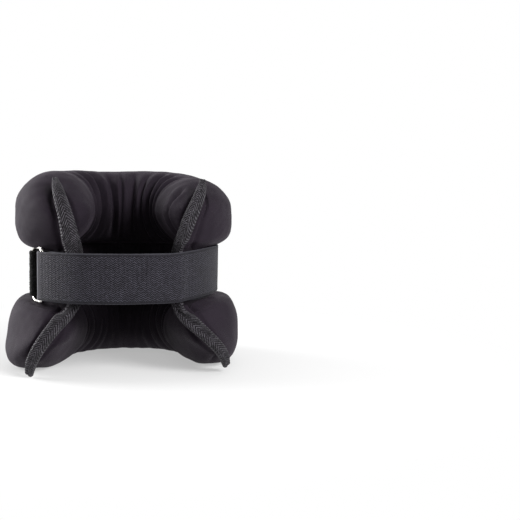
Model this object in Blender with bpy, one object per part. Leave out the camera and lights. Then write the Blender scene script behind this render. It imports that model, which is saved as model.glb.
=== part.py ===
"""Ankle cuff weight: two sand-filled rolls joined by a flat waist, bent into a C and closed by a strap.

Metres, +Z up. The cuff stands on its lower roll, its opening faces -Y and the strap ring is at -X.
Everything is worked out about the leg's axis, which the root empty puts at (0, LEG_AXIS_Y, 0).
Angles about that axis are in degrees from the middle of the back (+Y), positive towards -X.
The left half is modelled, and the right half is the same shape with X reversed.
"""

import math

import bmesh
import bpy
from mathutils import Vector

# Driving dimensions
STRAP_WIDTH = 0.030
STRAP_THICKNESS = 0.0015
STRAP_CENTRE_Z = 0.0605
LEG_AXIS_Y = -0.0082
ROLL_HALF_WIDTH = 0.0245
COVER_THICKNESS = 0.0025
POUCH_THICKNESS = 0.0006
WAIST_RADIUS = 0.053
WAIST_BOTTOM_Z = 0.0447
WAIST_TOP_Z = 0.0750
WAIST_END_ANGLE = 141.5
SEAM_CLEARANCE = 0.0011
SPLIT_ANGLE = 0.3
RING_WIRE_RADIUS = 0.0012
RING_GAP_HEIGHT = 0.0308
GAP = 0.0003

# Each roll: the radius of its centre circle, its middle height, its half height, and which way its tip points
ROLLS = {
    "upper": {"radius": 0.0465, "z": 0.1000, "half_height": 0.0250, "up": 1, "end_angle": 100},
    "lower": {"radius": 0.0495, "z": 0.0213, "half_height": 0.0230, "up": -1, "end_angle": 95},
}
TIP_ANGLE = 80
POINTS_PER_PANEL = 8
GRID_ANGLE = 10
END_STEPS = 4

# The end seam runs from the waist over the end of each roll to its tip: Bezier handles after the waist point
SEAM_HANDLES = {
    "upper": [(-0.0360, -0.0480, 0.087), (-0.0440, -0.0480, 0.105), (-0.0470, -0.0330, 0.1160)],
    "lower": [(-0.0370, -0.0480, 0.033), (-0.0515, -0.0520, 0.020), (-0.0552, -0.0400, 0.0085)],
}
TIP_FIN_DIRECTION = {"upper": Vector((-0.10, -0.92, 0.36)), "lower": Vector((-0.12, -0.97, 0.10))}
BAG_START_ANGLE = 3
BAG_OVERRUN = 9
FLANGE_HALF_THICKNESS = 0.0011
FLANGE_LENGTH = 0.0076
BINDING_START = 0.0030
BINDING_END = 0.0093
BINDING_HALF_THICKNESS = 0.0026
BINDING_THICKNESS = 0.0009
BINDING_TAIL = 0.003
THREAD_RADIUS = 0.00025

# Radii of what is laid on the waist, from the inside out
WAIST_OUTER_FACE = 0.0550
LOOP_TAPE_RADII = (0.0553, 0.0571)
LOOP_TAPE_HALF_HEIGHT = 0.0140
HOOK_PATCH_RADII = (0.0574, 0.0584)
STRAP_INNER_RADIUS = 0.05605
STRAP_OUTER_RADIUS = 0.05945

# Where the strap's parts meet, going back along the right side
SHOULDER_ANGLE = 140.5
STRAP_BASE_END_ANGLE = 119
TAIL_ANGLE = 118
TIP_ANGLE_START = 76
STRAP_END_ANGLE = 35

# The ring's two upright bars and the tab that holds it
RING_TAB_BAR = Vector((-0.0566, -0.0190, STRAP_CENTRE_Z))
RING_STRAP_BAR = Vector((-0.0503, -0.0332, STRAP_CENTRE_Z))
TAB_END_ANGLE = 72
TAB_THICKNESS = 0.0014
TAB_LOOP_RADIUS = 0.00235
FOLD_LOOP_RADIUS = 0.0027
FOLD_LENGTH = 0.009

FLEX_AXIS = Vector((0, 0.0745, 0))


def unit_at(angle):
    """Outward direction at this angle about the leg's axis."""
    turn = math.radians(angle)
    return Vector((-math.sin(turn), math.cos(turn), 0))


def forward_at(angle):
    """Direction along the circle, from the back towards the opening, at this angle."""
    turn = math.radians(angle)
    return Vector((-math.cos(turn), -math.sin(turn), 0))


def polar(radius, angle, z=0.0):
    return unit_at(angle) * radius + Vector((0, 0, z))


def bezier(points, t):
    """Point at t on the cubic Bezier curve with these four points."""
    a, b, c, d = points
    s = 1 - t
    return a * s**3 + b * (3 * s * s * t) + c * (3 * s * t * t) + d * t**3


def smooth_path(points, per_span):
    """A Catmull-Rom curve through the points."""
    padded = [2 * points[0] - points[1], *points, 2 * points[-1] - points[-2]]
    path = []
    for a, b, c, d in zip(padded, padded[1:], padded[2:], padded[3:]):
        for i in range(per_span):
            t = i / per_span
            path.append(
                b + (c - a) * (t / 2) + (2 * a - 5 * b + 4 * c - d) * (t * t / 2)
                + (3 * b - a - 3 * c + d) * (t**3 / 2)
            )
    return [*path, points[-1].copy()]


def grid_angles(start, end):
    """start, every multiple of GRID_ANGLE between, and end, so that nested curved pieces stay parallel."""
    low = math.floor(start / GRID_ANGLE) + 1
    high = math.ceil(end / GRID_ANGLE)
    return [start, *(GRID_ANGLE * i for i in range(low, high)), end]


def spread(start, end, count):
    """count + 1 numbers from start to end."""
    return [start + (end - start) * i / count for i in range(count + 1)]


# Building objects


def material(name, colour, roughness, metallic=0.0):
    made = bpy.data.materials.new(name)
    made.use_nodes = True
    shader = made.node_tree.nodes["Principled BSDF"]
    shader.inputs["Base Color"].default_value = (*colour, 1)
    shader.inputs["Roughness"].default_value = roughness
    shader.inputs["Metallic"].default_value = metallic
    made.diffuse_color = (*colour, 1)
    return made


def empty(name, pivot, parent=None):
    """The frame of one rigid body, with its origin on the body's joint axis."""
    made = bpy.data.objects.new(name, None)
    bpy.context.scene.collection.objects.link(made)
    made["pivot"] = pivot
    if parent is None:
        made.location = pivot + Vector((0, LEG_AXIS_Y, 0))
    else:
        made.parent = parent
        made.location = pivot - Vector(parent["pivot"])
    return made


def close_end(mesh, ring, reverse):
    """Fills an end section whose points k and -1 - k face each other."""
    for k in range(len(ring) // 2 - 1):
        face = [ring[k], ring[k + 1], ring[-2 - k], ring[-1 - k]]
        mesh.faces.new(face[::-1] if reverse else face)


def solid(name, sections, look, body, right=False, closed=False):
    """One closed solid through these sections, which all have the same number of points."""
    pivot = Vector(body["pivot"])
    mesh = bmesh.new()
    rings = []
    for section in sections:
        points = [Vector((-p.x, p.y, p.z)) if right else p for p in section]
        rings.append([mesh.verts.new(p - pivot) for p in points])
    following = rings[1:] + rings[:1] if closed else rings[1:]
    for ring, after in zip(rings, following):
        for k in range(len(ring)):
            j = (k + 1) % len(ring)
            mesh.faces.new([ring[k], ring[j], after[j], after[k]])
    if not closed:
        close_end(mesh, rings[0], reverse=True)
        close_end(mesh, rings[-1], reverse=False)
    bmesh.ops.recalc_face_normals(mesh, faces=mesh.faces)
    data = bpy.data.meshes.new(name)
    mesh.to_mesh(data)
    mesh.free()
    data.materials.append(look)
    data.shade_smooth()
    data.set_sharp_from_angle(angle=math.radians(40))
    made = bpy.data.objects.new(name, data)
    bpy.context.scene.collection.objects.link(made)
    made.parent = body
    return made


def strip_sections(path, half_thickness, bottom, top):
    """Sections of a flat strip that stands on edge and follows a path in plan."""
    sections = []
    for i, point in enumerate(path):
        before, after = path[max(i - 1, 0)], path[min(i + 1, len(path) - 1)]
        along = (after - before).normalized()
        across = Vector((along.y, -along.x, 0)) * half_thickness
        sections.append(
            [
                Vector((point.x + across.x * side, point.y + across.y * side, z))
                for side, z in ((-1, bottom), (-1, top), (1, top), (1, bottom))
            ]
        )
    return sections


def tube_sections(path, radius, sides, closed=False):
    """Sections of a round tube along a path, each turned the least from the one before it."""
    sections = []
    side = None
    for i, point in enumerate(path):
        before = path[i - 1] if closed or i else path[0]
        after = path[(i + 1) % len(path)] if closed or i + 1 < len(path) else path[-1]
        along = (after - before).normalized()
        side = along.orthogonal() if side is None else side
        side = (side - along * side.dot(along)).normalized()
        other = along.cross(side)
        sections.append(
            [
                point + side * (radius * math.cos(turn)) + other * (radius * math.sin(turn))
                for turn in (2 * math.pi * (k + 0.5) / sides for k in range(sides))
            ]
        )
    return sections


# The rolls


def seam_frame(level, u, lean=0.0):
    """Seam point, fin direction, outward side and seam direction at u, from 0 at the waist to 1 at the tip."""
    roll = ROLLS[level]
    waist_z = WAIST_TOP_Z + SEAM_CLEARANCE if roll["up"] > 0 else WAIST_BOTTOM_Z - SEAM_CLEARANCE
    points = [polar(WAIST_RADIUS, WAIST_END_ANGLE, waist_z), *map(Vector, SEAM_HANDLES[level])]
    point = bezier(points, u)
    if u == 0:
        return point, forward_at(WAIST_END_ANGLE), unit_at(WAIST_END_ANGLE), Vector((0, 0, roll["up"]))
    step = 0.02
    along = (bezier(points, min(u + step, 1)) - bezier(points, max(u - step, 0))).normalized()
    fin = forward_at(WAIST_END_ANGLE).lerp(TIP_FIN_DIRECTION[level].normalized(), u)
    fin = (fin - along * fin.dot(along)).normalized()
    outward = fin.cross(along) * roll["up"]
    turn = math.radians(lean) * math.sin(math.pi * min(u, 1)) ** 0.7
    leaned_fin = fin * math.cos(turn) + outward * math.sin(turn)
    leaned_outward = outward * math.cos(turn) - fin * math.sin(turn)
    return point, leaned_fin, leaned_outward, along


def panel_points(level):
    """(section angle, seam position, side) of each point round a roll: outer panel first, then inner panel."""
    roll = ROLLS[level]
    waist_offset = (WAIST_RADIUS - roll["radius"]) / ROLL_HALF_WIDTH
    start = -math.degrees(math.acos(waist_offset))
    count = POINTS_PER_PANEL
    outer_step = (TIP_ANGLE - start) / count
    inner_step = (360 + start - TIP_ANGLE) / count
    outer = [(start + outer_step * (k + 0.5), k / (count - 1), 1) for k in range(count)]
    inner = [(TIP_ANGLE + inner_step * (k + 0.5), 1 - k / (count - 1), -1) for k in range(count)]
    return outer + inner


def above_floor(point, share):
    """The point, lifted where the roll rests flat; an inner skin stays that much higher."""
    return Vector((point.x, point.y, max(point.z, (1 - share) * ROLL_HALF_WIDTH)))


def roll_section(level, angle, share):
    """Section of a roll at this angle, share being its size against the cover's outside."""
    roll = ROLLS[level]
    section = []
    for turn, _, _ in panel_points(level):
        out = math.cos(math.radians(turn)) * ROLL_HALF_WIDTH * share
        rise = math.sin(math.radians(turn)) * roll["half_height"] * share * roll["up"]
        section.append(polar(roll["radius"] + out, angle, roll["z"] + rise))
    return section


def roll_end_sections(level, share, lean):
    """Sections from the end of a roll's arc to the seam, where the two panels close like a pillow's end."""
    roll = ROLLS[level]
    centre = polar(roll["radius"], roll["end_angle"], roll["z"])
    forward = forward_at(roll["end_angle"])
    half_thickness = FLANGE_HALF_THICKNESS if share == 1 else (share - 0.8) * 0.013
    rails = []
    for start, (_, u, side) in zip(roll_section(level, roll["end_angle"], share), panel_points(level)):
        point, fin, outward, _ = seam_frame(level, u, lean)
        end = centre + (point - centre) * share + outward * (side * half_thickness)
        bulge = math.sin(math.pi * u) ** 0.6
        reach = (end - start).length
        sideways = abs((start - end).dot(outward))
        rails.append(
            [
                start,
                start + forward * (0.55 * (end - start).dot(forward)),
                end + outward * (side * 0.55 * sideways * bulge) - fin * (0.35 * reach * (1 - bulge)),
                end,
            ]
        )
    return [[bezier(rail, t) for rail in rails] for t in spread(0, 1, END_STEPS)]


def cover_skin(level, share, lean):
    """Sections of one skin of a roll's cover, from the back to the seam."""
    angles = grid_angles(SPLIT_ANGLE, ROLLS[level]["end_angle"])
    sections = [roll_section(level, angle, share) for angle in angles[:-1]]
    sections += roll_end_sections(level, share, lean)
    return [[above_floor(point, share) for point in section] for section in sections]


def bag_skin(level, depth, trim):
    """Sections of a skin this deep in the roll, rounded at both ends, which are pulled in by trim degrees."""
    share = 1 - depth / ROLL_HALF_WIDTH
    back, front = BAG_START_ANGLE + trim, ROLLS[level]["end_angle"] + BAG_OVERRUN - trim
    sections = [roll_section(level, back, share * 0.14), roll_section(level, back + 0.5, share * 0.6)]
    full_size = grid_angles(10 + trim, ROLLS[level]["end_angle"] - trim)
    sections += [roll_section(level, angle, share) for angle in full_size]
    sections += [roll_section(level, front - 0.5, share * 0.6), roll_section(level, front, share * 0.14)]
    return [[above_floor(point, share) for point in section] for section in sections]


def flange_section(level, lean):
    """The free edge of the two sewn panels, which the binding covers."""
    section = []
    for _, u, side in panel_points(level):
        point, fin, outward, _ = seam_frame(level, u, lean)
        section.append(point + fin * FLANGE_LENGTH + outward * (side * FLANGE_HALF_THICKNESS))
    return section


def build_roll(prefix, level, looks, body, right, lean):
    """Cover, sand pouch and sand of half a roll."""
    inner = cover_skin(level, 1 - COVER_THICKNESS / ROLL_HALF_WIDTH, lean)
    cover = [*inner[::-1], *cover_skin(level, 1, lean), flange_section(level, lean)]
    solid(f"{prefix}_{level}_roll_cover", cover, looks["neoprene"], body, right)
    # The pouch's rounded back end keeps a small filling hole
    pouch_depth = COVER_THICKNESS + GAP
    lining = bag_skin(level, pouch_depth + POUCH_THICKNESS, 0.7)
    pouch = [*lining[::-1], *bag_skin(level, pouch_depth, 0)]
    solid(f"{prefix}_{level}_sand_pouch", pouch, looks["lining"], body, right)
    sand = bag_skin(level, pouch_depth + POUCH_THICKNESS + GAP, 2.4)
    solid(f"{prefix}_{level}_sand_fill", sand, looks["iron_sand"], body, right)


# The waist, the bindings and what is laid on the waist


def band_sections(radii, angles, bottom, top):
    """Sections of a band bent round the leg's axis."""
    inner, outer = radii
    return [
        [polar(inner, a, bottom), polar(inner, a, top), polar(outer, a, top), polar(outer, a, bottom)]
        for a in angles
    ]


def build_waist(prefix, looks, body, right):
    """The outer and inner waist panels, which thin down to the flange at the opening."""
    fin = forward_at(WAIST_END_ANGLE)
    outward = unit_at(WAIST_END_ANGLE)
    seam = polar(WAIST_RADIUS, WAIST_END_ANGLE)
    panels = {
        "outer": ((WAIST_RADIUS + 0.00015, WAIST_OUTER_FACE), (0.0001, FLANGE_HALF_THICKNESS)),
        "inner": ((0.0510, WAIST_RADIUS - 0.00015), (-FLANGE_HALF_THICKNESS, -0.0001)),
    }
    for name, (radii, flange) in panels.items():
        angles = grid_angles(SPLIT_ANGLE, WAIST_END_ANGLE - 4)
        sections = band_sections(radii, angles, WAIST_BOTTOM_Z, WAIST_TOP_Z)
        for reach in (0, FLANGE_LENGTH):
            low, high = (seam + fin * reach + outward * offset for offset in flange)
            sections.append(
                [
                    Vector((*low.xy, WAIST_BOTTOM_Z)),
                    Vector((*low.xy, WAIST_TOP_Z)),
                    Vector((*high.xy, WAIST_TOP_Z)),
                    Vector((*high.xy, WAIST_BOTTOM_Z)),
                ]
            )
        solid(f"{prefix}_waist_{name}_panel", sections, looks["neoprene"], body, right)


def seam_stations(leans):
    """(point, fin, outward) along the whole end seam, from below the lower tip to above the upper tip."""
    steps = POINTS_PER_PANEL - 1
    lower = [seam_frame("lower", u, leans["lower"]) for u in spread(1, 0, steps)]
    upper = [seam_frame("upper", u, leans["upper"]) for u in spread(0, 1, steps)]
    tails = [(end[0] + end[3] * BINDING_TAIL, *end[1:]) for end in (lower[0], upper[-1])]
    return [station[:3] for station in (tails[0], *lower, *upper, tails[1])]


def build_binding(prefix, looks, body, right, leans):
    """The tape folded over the end seam, and its line of stitching."""
    half, inside = BINDING_HALF_THICKNESS, BINDING_HALF_THICKNESS - BINDING_THICKNESS
    fold = BINDING_END - BINDING_THICKNESS - 0.0002
    profile = [
        (BINDING_START, half), (BINDING_END, half * 0.8), (BINDING_END, -half * 0.8), (BINDING_START, -half),
        (BINDING_START, -inside), (fold, -inside), (fold, inside), (BINDING_START, inside),
    ]
    stations = seam_stations(leans)
    sections = [[p + fin * f + out * b for f, b in profile] for p, fin, out in stations]
    solid(f"{prefix}_end_binding", sections, looks["binding"], body, right)
    thread_out = half + THREAD_RADIUS + 0.00015
    line = [p + fin * 0.003 + out * thread_out for p, fin, out in stations[1:-1]]
    thread = tube_sections(line, THREAD_RADIUS, 4)
    solid(f"{prefix}_binding_stitching", thread, looks["thread"], body, right)


def build_half(prefix, looks, body, right, leans, tape_end):
    for level in ROLLS:
        build_roll(prefix, level, looks, body, right, leans[level])
    build_waist(prefix, looks, body, right)
    build_binding(prefix, looks, body, right, leans)
    z = STRAP_CENTRE_Z
    tape = band_sections(
        LOOP_TAPE_RADII, grid_angles(SPLIT_ANGLE, tape_end), z - LOOP_TAPE_HALF_HEIGHT, z + LOOP_TAPE_HALF_HEIGHT
    )
    solid(f"{prefix}_loop_tape", tape, looks["loop_tape"], body, right)


# The strap, its ring and its stitching


def strap_middle_path():
    """Plan of the line midway between the strap's two layers, from the ring bar to the right half's shoulder."""
    shoulder_radius = (STRAP_INNER_RADIUS + STRAP_OUTER_RADIUS) / 2
    points = [
        RING_STRAP_BAR,
        Vector((-0.0420, -0.0435, 0)),
        Vector((-0.0280, -0.0524, 0)),
        Vector((-0.0080, -0.0552, 0)),
        Vector((0.0140, -0.0546, 0)),
        polar(0.0594, -150),
        polar(0.0588, -144.5),
        polar(shoulder_radius, -SHOULDER_ANGLE),
        polar(shoulder_radius, 4 - SHOULDER_ANGLE),
    ]
    per_span = 3
    return smooth_path([Vector((p.x, p.y, 0)) for p in points], per_span)[:-per_span]


def strap_layer(path, side):
    """The strap's outer (side 1) or inner (side -1) layer beside its middle path, as points of its centre."""
    layer = []
    count = len(path) - 1
    for i, point in enumerate(path):
        along = (path[min(i + 1, count)] - path[max(i - 1, 0)]).normalized()
        t = i / count
        near_ring = FOLD_LOOP_RADIUS * max(0, 1 - t * 2.2) ** 2
        near_shoulder = 0.0017 * max(0, 2 * t - 1) ** 2
        offset = max(near_ring, near_shoulder, 0.0012)
        layer.append(point + Vector((along.y, -along.x, 0)) * (side * offset))
    return layer


def loop_path(centre, radius, leg_in, leg_out):
    """A strip's path along leg_in, half way round an upright bar, and back along leg_out."""
    start = (leg_in[-1] - centre).xy
    first = math.atan2(start.y, start.x)
    arc = [
        Vector((centre.x + radius * math.cos(a), centre.y + radius * math.sin(a), 0))
        for a in (first + math.pi * k / 8 for k in range(1, 8))
    ]
    return [*leg_in, *arc, *leg_out]


def build_strap_front(looks, body):
    """The doubled strap across the opening, and the fold that wraps the ring's bar."""
    bottom, top = STRAP_CENTRE_Z - STRAP_WIDTH / 2, STRAP_CENTRE_Z + STRAP_WIDTH / 2
    half = STRAP_THICKNESS / 2
    path = [p for p in strap_middle_path() if (p - RING_STRAP_BAR).xy.length > FOLD_LENGTH + GAP]
    for name, side in (("outer", 1), ("inner", -1)):
        sections = strip_sections(strap_layer(path, side), half, bottom, top)
        solid(f"strap_front_{name}", sections, looks["webbing"], body)
    return path[0]


def build_strap_fold(looks, body, front_start):
    bottom, top = STRAP_CENTRE_Z - STRAP_WIDTH / 2, STRAP_CENTRE_Z + STRAP_WIDTH / 2
    bar = Vector((RING_STRAP_BAR.x, RING_STRAP_BAR.y, 0))
    to_bar = (bar - front_start).normalized()
    across = Vector((to_bar.y, -to_bar.x, 0)) * FOLD_LOOP_RADIUS
    back = bar - to_bar * FOLD_LENGTH
    # The strap comes in along its inner layer, rounds the bar and leaves as the outer layer
    path = loop_path(bar, FOLD_LOOP_RADIUS, [back + across, bar + across], [bar - across, back - across])
    solid("strap_fold", strip_sections(path, STRAP_THICKNESS / 2, bottom, top), looks["webbing"], body)


def build_ring(looks, body):
    """The metal loop: two upright bars and two short ends with rounded corners."""
    half_height = RING_GAP_HEIGHT / 2 + RING_WIRE_RADIUS
    across = (RING_STRAP_BAR - RING_TAB_BAR) / 2
    centre = (RING_STRAP_BAR + RING_TAB_BAR) / 2
    corner = 0.0022
    width = across.length
    path = []
    for sx, sz, start in ((1, 1, 0), (-1, 1, 90), (-1, -1, 180), (1, -1, 270)):
        for k in range(5):
            turn = math.radians(start + 22.5 * k)
            x = sx * (width - corner) + corner * math.cos(turn)
            z = sz * (half_height - corner) + corner * math.sin(turn)
            path.append(centre + across.normalized() * x + Vector((0, 0, z)))
    rings = tube_sections(path, RING_WIRE_RADIUS, 6, closed=True)
    solid("strap_ring", rings, looks["metal"], body, closed=True)


def build_tab(looks, body):
    """The tab that holds the ring: sewn to the waist, round the ring's bar and back over itself."""
    inner, outer = 0.0560, 0.05775
    bar = Vector((RING_TAB_BAR.x, RING_TAB_BAR.y, 0))
    inside, outside = Vector((TAB_LOOP_RADIUS, 0, 0)), Vector((-TAB_LOOP_RADIUS, 0, 0))
    leg_in = [polar(inner, a) for a in (TAB_END_ANGLE, 80, 88, 97)] + [bar + inside]
    leg_out = [polar(outer, a) for a in (TAB_END_ANGLE, 80, 88, 97)] + [bar + outside]
    middle = [
        Vector((bar.x + TAB_LOOP_RADIUS * math.cos(a), bar.y - TAB_LOOP_RADIUS * math.sin(a), 0))
        for a in (math.pi * k / 8 for k in range(1, 8))
    ]
    path = [*leg_in, *middle, *leg_out[::-1]]
    half = STRAP_WIDTH / 2 - 0.001
    sections = strip_sections(path, TAB_THICKNESS / 2, STRAP_CENTRE_Z - half, STRAP_CENTRE_Z + half)
    solid("ring_tab", sections, looks["loop_tape"], body)


def box_stitch(name, radius, first, last, half_height, look, body, right):
    """A rectangle of thread sewn on a band, at this radius."""
    across = grid_angles(first, last)
    low, high = STRAP_CENTRE_Z - half_height, STRAP_CENTRE_Z + half_height
    path = [polar(radius, a, low) for a in across] + [polar(radius, a, high) for a in across[::-1]]
    solid(name, tube_sections(path, THREAD_RADIUS, 4, closed=True), look, body, right, closed=True)


def build_right_strap(looks, half, tail, tip):
    """The strap where it is sewn to the right half, its shoulder, and the tail that peels off the loop tape."""
    bottom, top = STRAP_CENTRE_Z - STRAP_WIDTH / 2, STRAP_CENTRE_Z + STRAP_WIDTH / 2
    thickness = STRAP_THICKNESS / 2

    def band(name, radius, first, last, look, body):
        radii = (radius - thickness, radius + thickness)
        solid(name, band_sections(radii, grid_angles(first, last), bottom, top), look, body, right=True)

    gap_angle = 0.9
    band("strap_base", STRAP_INNER_RADIUS, STRAP_BASE_END_ANGLE, SHOULDER_ANGLE - gap_angle, looks["webbing"], half)
    band("strap_shoulder", STRAP_OUTER_RADIUS, TAIL_ANGLE + gap_angle, SHOULDER_ANGLE - gap_angle, looks["webbing"], half)
    band("strap_tail", STRAP_OUTER_RADIUS, TIP_ANGLE_START + gap_angle, TAIL_ANGLE, looks["webbing"], tail)
    band("strap_tip", STRAP_OUTER_RADIUS, STRAP_END_ANGLE, TIP_ANGLE_START, looks["webbing"], tip)
    patch = band_sections(
        HOOK_PATCH_RADII, grid_angles(STRAP_END_ANGLE + 1, TIP_ANGLE_START - 4), bottom + 0.002, top - 0.002
    )
    solid("hook_patch", patch, looks["hook_tape"], tip, right=True)
    stitch_radius = STRAP_INNER_RADIUS + thickness + THREAD_RADIUS + 0.00015
    box_stitch(
        "strap_base_stitching", stitch_radius, STRAP_BASE_END_ANGLE + 3, SHOULDER_ANGLE - 6, 0.011,
        looks["thread"], half, True,
    )
    tip_radius = STRAP_OUTER_RADIUS + thickness + THREAD_RADIUS + 0.00015
    box_stitch(
        "hook_patch_stitching", tip_radius, STRAP_END_ANGLE + 2.5, TIP_ANGLE_START - 6, 0.0115,
        looks["thread"], tip, True,
    )


def main():
    for old in list(bpy.data.objects):
        bpy.data.objects.remove(old)
    looks = {
        "neoprene": material("neoprene", (0.030, 0.027, 0.032), 0.85),
        "lining": material("lining", (0.10, 0.10, 0.11), 0.8),
        "iron_sand": material("iron_sand", (0.13, 0.12, 0.115), 0.7, 0.4),
        "binding": material("binding", (0.020, 0.020, 0.021), 0.75),
        "thread": material("thread", (0.028, 0.028, 0.030), 0.6),
        "loop_tape": material("loop_tape", (0.012, 0.012, 0.013), 0.95),
        "hook_tape": material("hook_tape", (0.020, 0.020, 0.022), 0.6),
        "webbing": material("webbing", (0.045, 0.044, 0.050), 0.7),
        "metal": material("metal", (0.78, 0.77, 0.75), 0.22, 1.0),
    }
    left = empty("body_left_half", Vector((0, 0, 0)))
    ring = empty("body_ring", RING_TAB_BAR, left)
    right = empty("body_right_half", FLEX_AXIS, left)
    tail = empty("body_strap_tail", polar(STRAP_OUTER_RADIUS, -TAIL_ANGLE), right)
    tip = empty("body_strap_tip", polar(STRAP_OUTER_RADIUS, -TIP_ANGLE_START), tail)

    tape_gap = 0.5
    build_half("left", looks, left, False, {"upper": 10, "lower": -4}, TAB_END_ANGLE - tape_gap)
    build_half("right", looks, right, True, {"upper": -2, "lower": -4}, STRAP_BASE_END_ANGLE - tape_gap)
    build_tab(looks, left)
    tab_stitch_radius = 0.05775 + TAB_THICKNESS / 2 + THREAD_RADIUS + 0.00015
    box_stitch("ring_tab_stitching", tab_stitch_radius, TAB_END_ANGLE + 1.5, 87, 0.0115, looks["thread"], left, False)
    front_start = build_strap_front(looks, left)
    build_strap_fold(looks, ring, front_start)
    build_ring(looks, ring)
    build_right_strap(looks, right, tail, tip)


main()
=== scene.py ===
"""Ankle cuff weight: the finished cloth, webbing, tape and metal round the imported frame.

Metres, +Z up. The opening faces -Y and the strap ring is at -X. Angles about the leg's axis are in
degrees from the middle of the back, positive towards -X.
"""

import math

import bpy
import numpy as np
from mathutils import Matrix, Vector


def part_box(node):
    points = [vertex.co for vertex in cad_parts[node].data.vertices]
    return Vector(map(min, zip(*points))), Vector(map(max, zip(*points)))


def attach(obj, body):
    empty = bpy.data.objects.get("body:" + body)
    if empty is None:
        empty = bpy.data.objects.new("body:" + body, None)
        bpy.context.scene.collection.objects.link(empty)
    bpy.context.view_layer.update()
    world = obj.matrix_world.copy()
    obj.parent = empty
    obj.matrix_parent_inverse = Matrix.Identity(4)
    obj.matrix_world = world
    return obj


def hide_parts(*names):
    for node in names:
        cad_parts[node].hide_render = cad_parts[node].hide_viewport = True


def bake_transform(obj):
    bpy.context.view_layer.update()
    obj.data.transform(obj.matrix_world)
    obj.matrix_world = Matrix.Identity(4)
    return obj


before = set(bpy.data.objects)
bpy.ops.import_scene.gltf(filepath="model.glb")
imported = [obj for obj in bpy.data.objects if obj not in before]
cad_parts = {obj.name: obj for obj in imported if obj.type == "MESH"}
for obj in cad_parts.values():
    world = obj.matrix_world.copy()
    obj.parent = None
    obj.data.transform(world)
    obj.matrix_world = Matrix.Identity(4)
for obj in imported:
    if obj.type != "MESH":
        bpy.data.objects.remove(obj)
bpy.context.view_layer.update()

# Places taken from the frame
LEG_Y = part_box("left_loop_tape")[1].y - 0.0571
STRAP_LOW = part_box("strap_shoulder")[0].z
STRAP_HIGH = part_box("strap_shoulder")[1].z
STRAP_Z = (STRAP_LOW + STRAP_HIGH) / 2
RING_LOW, RING_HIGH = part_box("strap_ring")
WIRE = 0.0012
TAB_BAR = np.array([RING_LOW.x + WIRE, RING_HIGH.y - WIRE, STRAP_Z])
STRAP_BAR = np.array([RING_HIGH.x - WIRE, RING_LOW.y + WIRE, STRAP_Z])

# The shape that the CAD solids have
ROLL_HALF_WIDTH = 0.0245
WAIST_RADIUS = 0.053
WAIST_END_ANGLE = 141.5
WAIST_TOP_Z = 0.0761
WAIST_BOTTOM_Z = 0.0436
TIP_ANGLE = 80
ROLLS = {
    "upper": {"radius": 0.0465, "z": 0.1000, "half_height": 0.0250, "up": 1, "end_angle": 100},
    "lower": {"radius": 0.0495, "z": 0.0213, "half_height": 0.0230, "up": -1, "end_angle": 95},
}
SEAM_HANDLES = {
    ("upper", 1): [(-0.0350, -0.0485, 0.087), (-0.0400, -0.0495, 0.103), (-0.0430, -0.0345, 0.1152)],
    ("upper", -1): [(-0.0375, -0.0480, 0.087), (-0.0460, -0.0480, 0.104), (-0.0480, -0.0335, 0.1185)],
    ("lower", 1): [(-0.0410, -0.0480, 0.034), (-0.0525, -0.0530, 0.020), (-0.0553, -0.0420, 0.0062)],
    ("lower", -1): [(-0.0375, -0.0480, 0.033), (-0.0540, -0.0520, 0.022), (-0.0585, -0.0400, 0.0085)],
}
TIP_FIN = {"upper": (-0.10, -0.92, 0.36), "lower": (-0.12, -0.97, 0.10)}

# How finely the rolls are made
POINTS_PER_PANEL = 56
ARC_STEP = 1.25
END_STEPS = 34


def unit_at(angle):
    """Outward direction at this angle about the leg's axis."""
    turn = np.radians(angle)
    return np.stack([-np.sin(turn), np.cos(turn), np.zeros_like(turn)], -1)


def forward_at(angle):
    turn = np.radians(angle)
    return np.stack([-np.cos(turn), -np.sin(turn), np.zeros_like(turn)], -1)


def polar(radius, angle, z=0.0):
    angle = np.asarray(angle, float)
    point = unit_at(angle) * np.asarray(radius)[..., None]
    point[..., 2] = z
    return point


def normalised(v):
    return v / np.maximum(np.linalg.norm(v, axis=-1, keepdims=True), 1e-12)


def smoothstep(x, low=0.0, high=1.0):
    t = np.clip((x - low) / (high - low), 0, 1)
    return t * t * (3 - 2 * t)


def bezier(a, b, c, d, t):
    s = 1 - t
    return a * s**3 + b * (3 * s * s * t) + c * (3 * s * t * t) + d * t**3


def smooth_path(points, per_span):
    """A Catmull-Rom curve through the points."""
    points = np.asarray(points, float)
    padded = np.vstack([2 * points[0] - points[1], points, 2 * points[-1] - points[-2]])
    path = []
    for a, b, c, d in zip(padded, padded[1:], padded[2:], padded[3:]):
        for i in range(per_span):
            t = i / per_span
            path.append(
                b + (c - a) * (t / 2) + (2 * a - 5 * b + 4 * c - d) * (t * t / 2)
                + (3 * b - a - 3 * c + d) * (t**3 / 2)
            )
    return np.array([*path, points[-1]])


def lengths_along(path):
    steps = np.linalg.norm(np.diff(path, axis=0), axis=1)
    return np.concatenate([[0], np.cumsum(steps)])


def resampled(path, step):
    """The path again with points this far apart."""
    along = lengths_along(path)
    count = max(2, int(round(along[-1] / step)) + 1)
    at = np.linspace(0, along[-1], count)
    return np.stack([np.interp(at, along, path[:, k]) for k in range(path.shape[1])], -1)


def wobble(seed, *coordinates, scale=1.0):
    """Smooth repeatable noise about 0, from a few sines whose turns come from the seed."""
    rng = np.random.default_rng(seed)
    total = 0.0
    for _ in range(6):
        waves = rng.normal(size=len(coordinates)) * scale
        phase = rng.uniform(0, 2 * math.pi)
        total = total + np.sin(sum(w * c for w, c in zip(waves, coordinates)) + phase)
    return total / 6


# Meshes from grids of points


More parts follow.
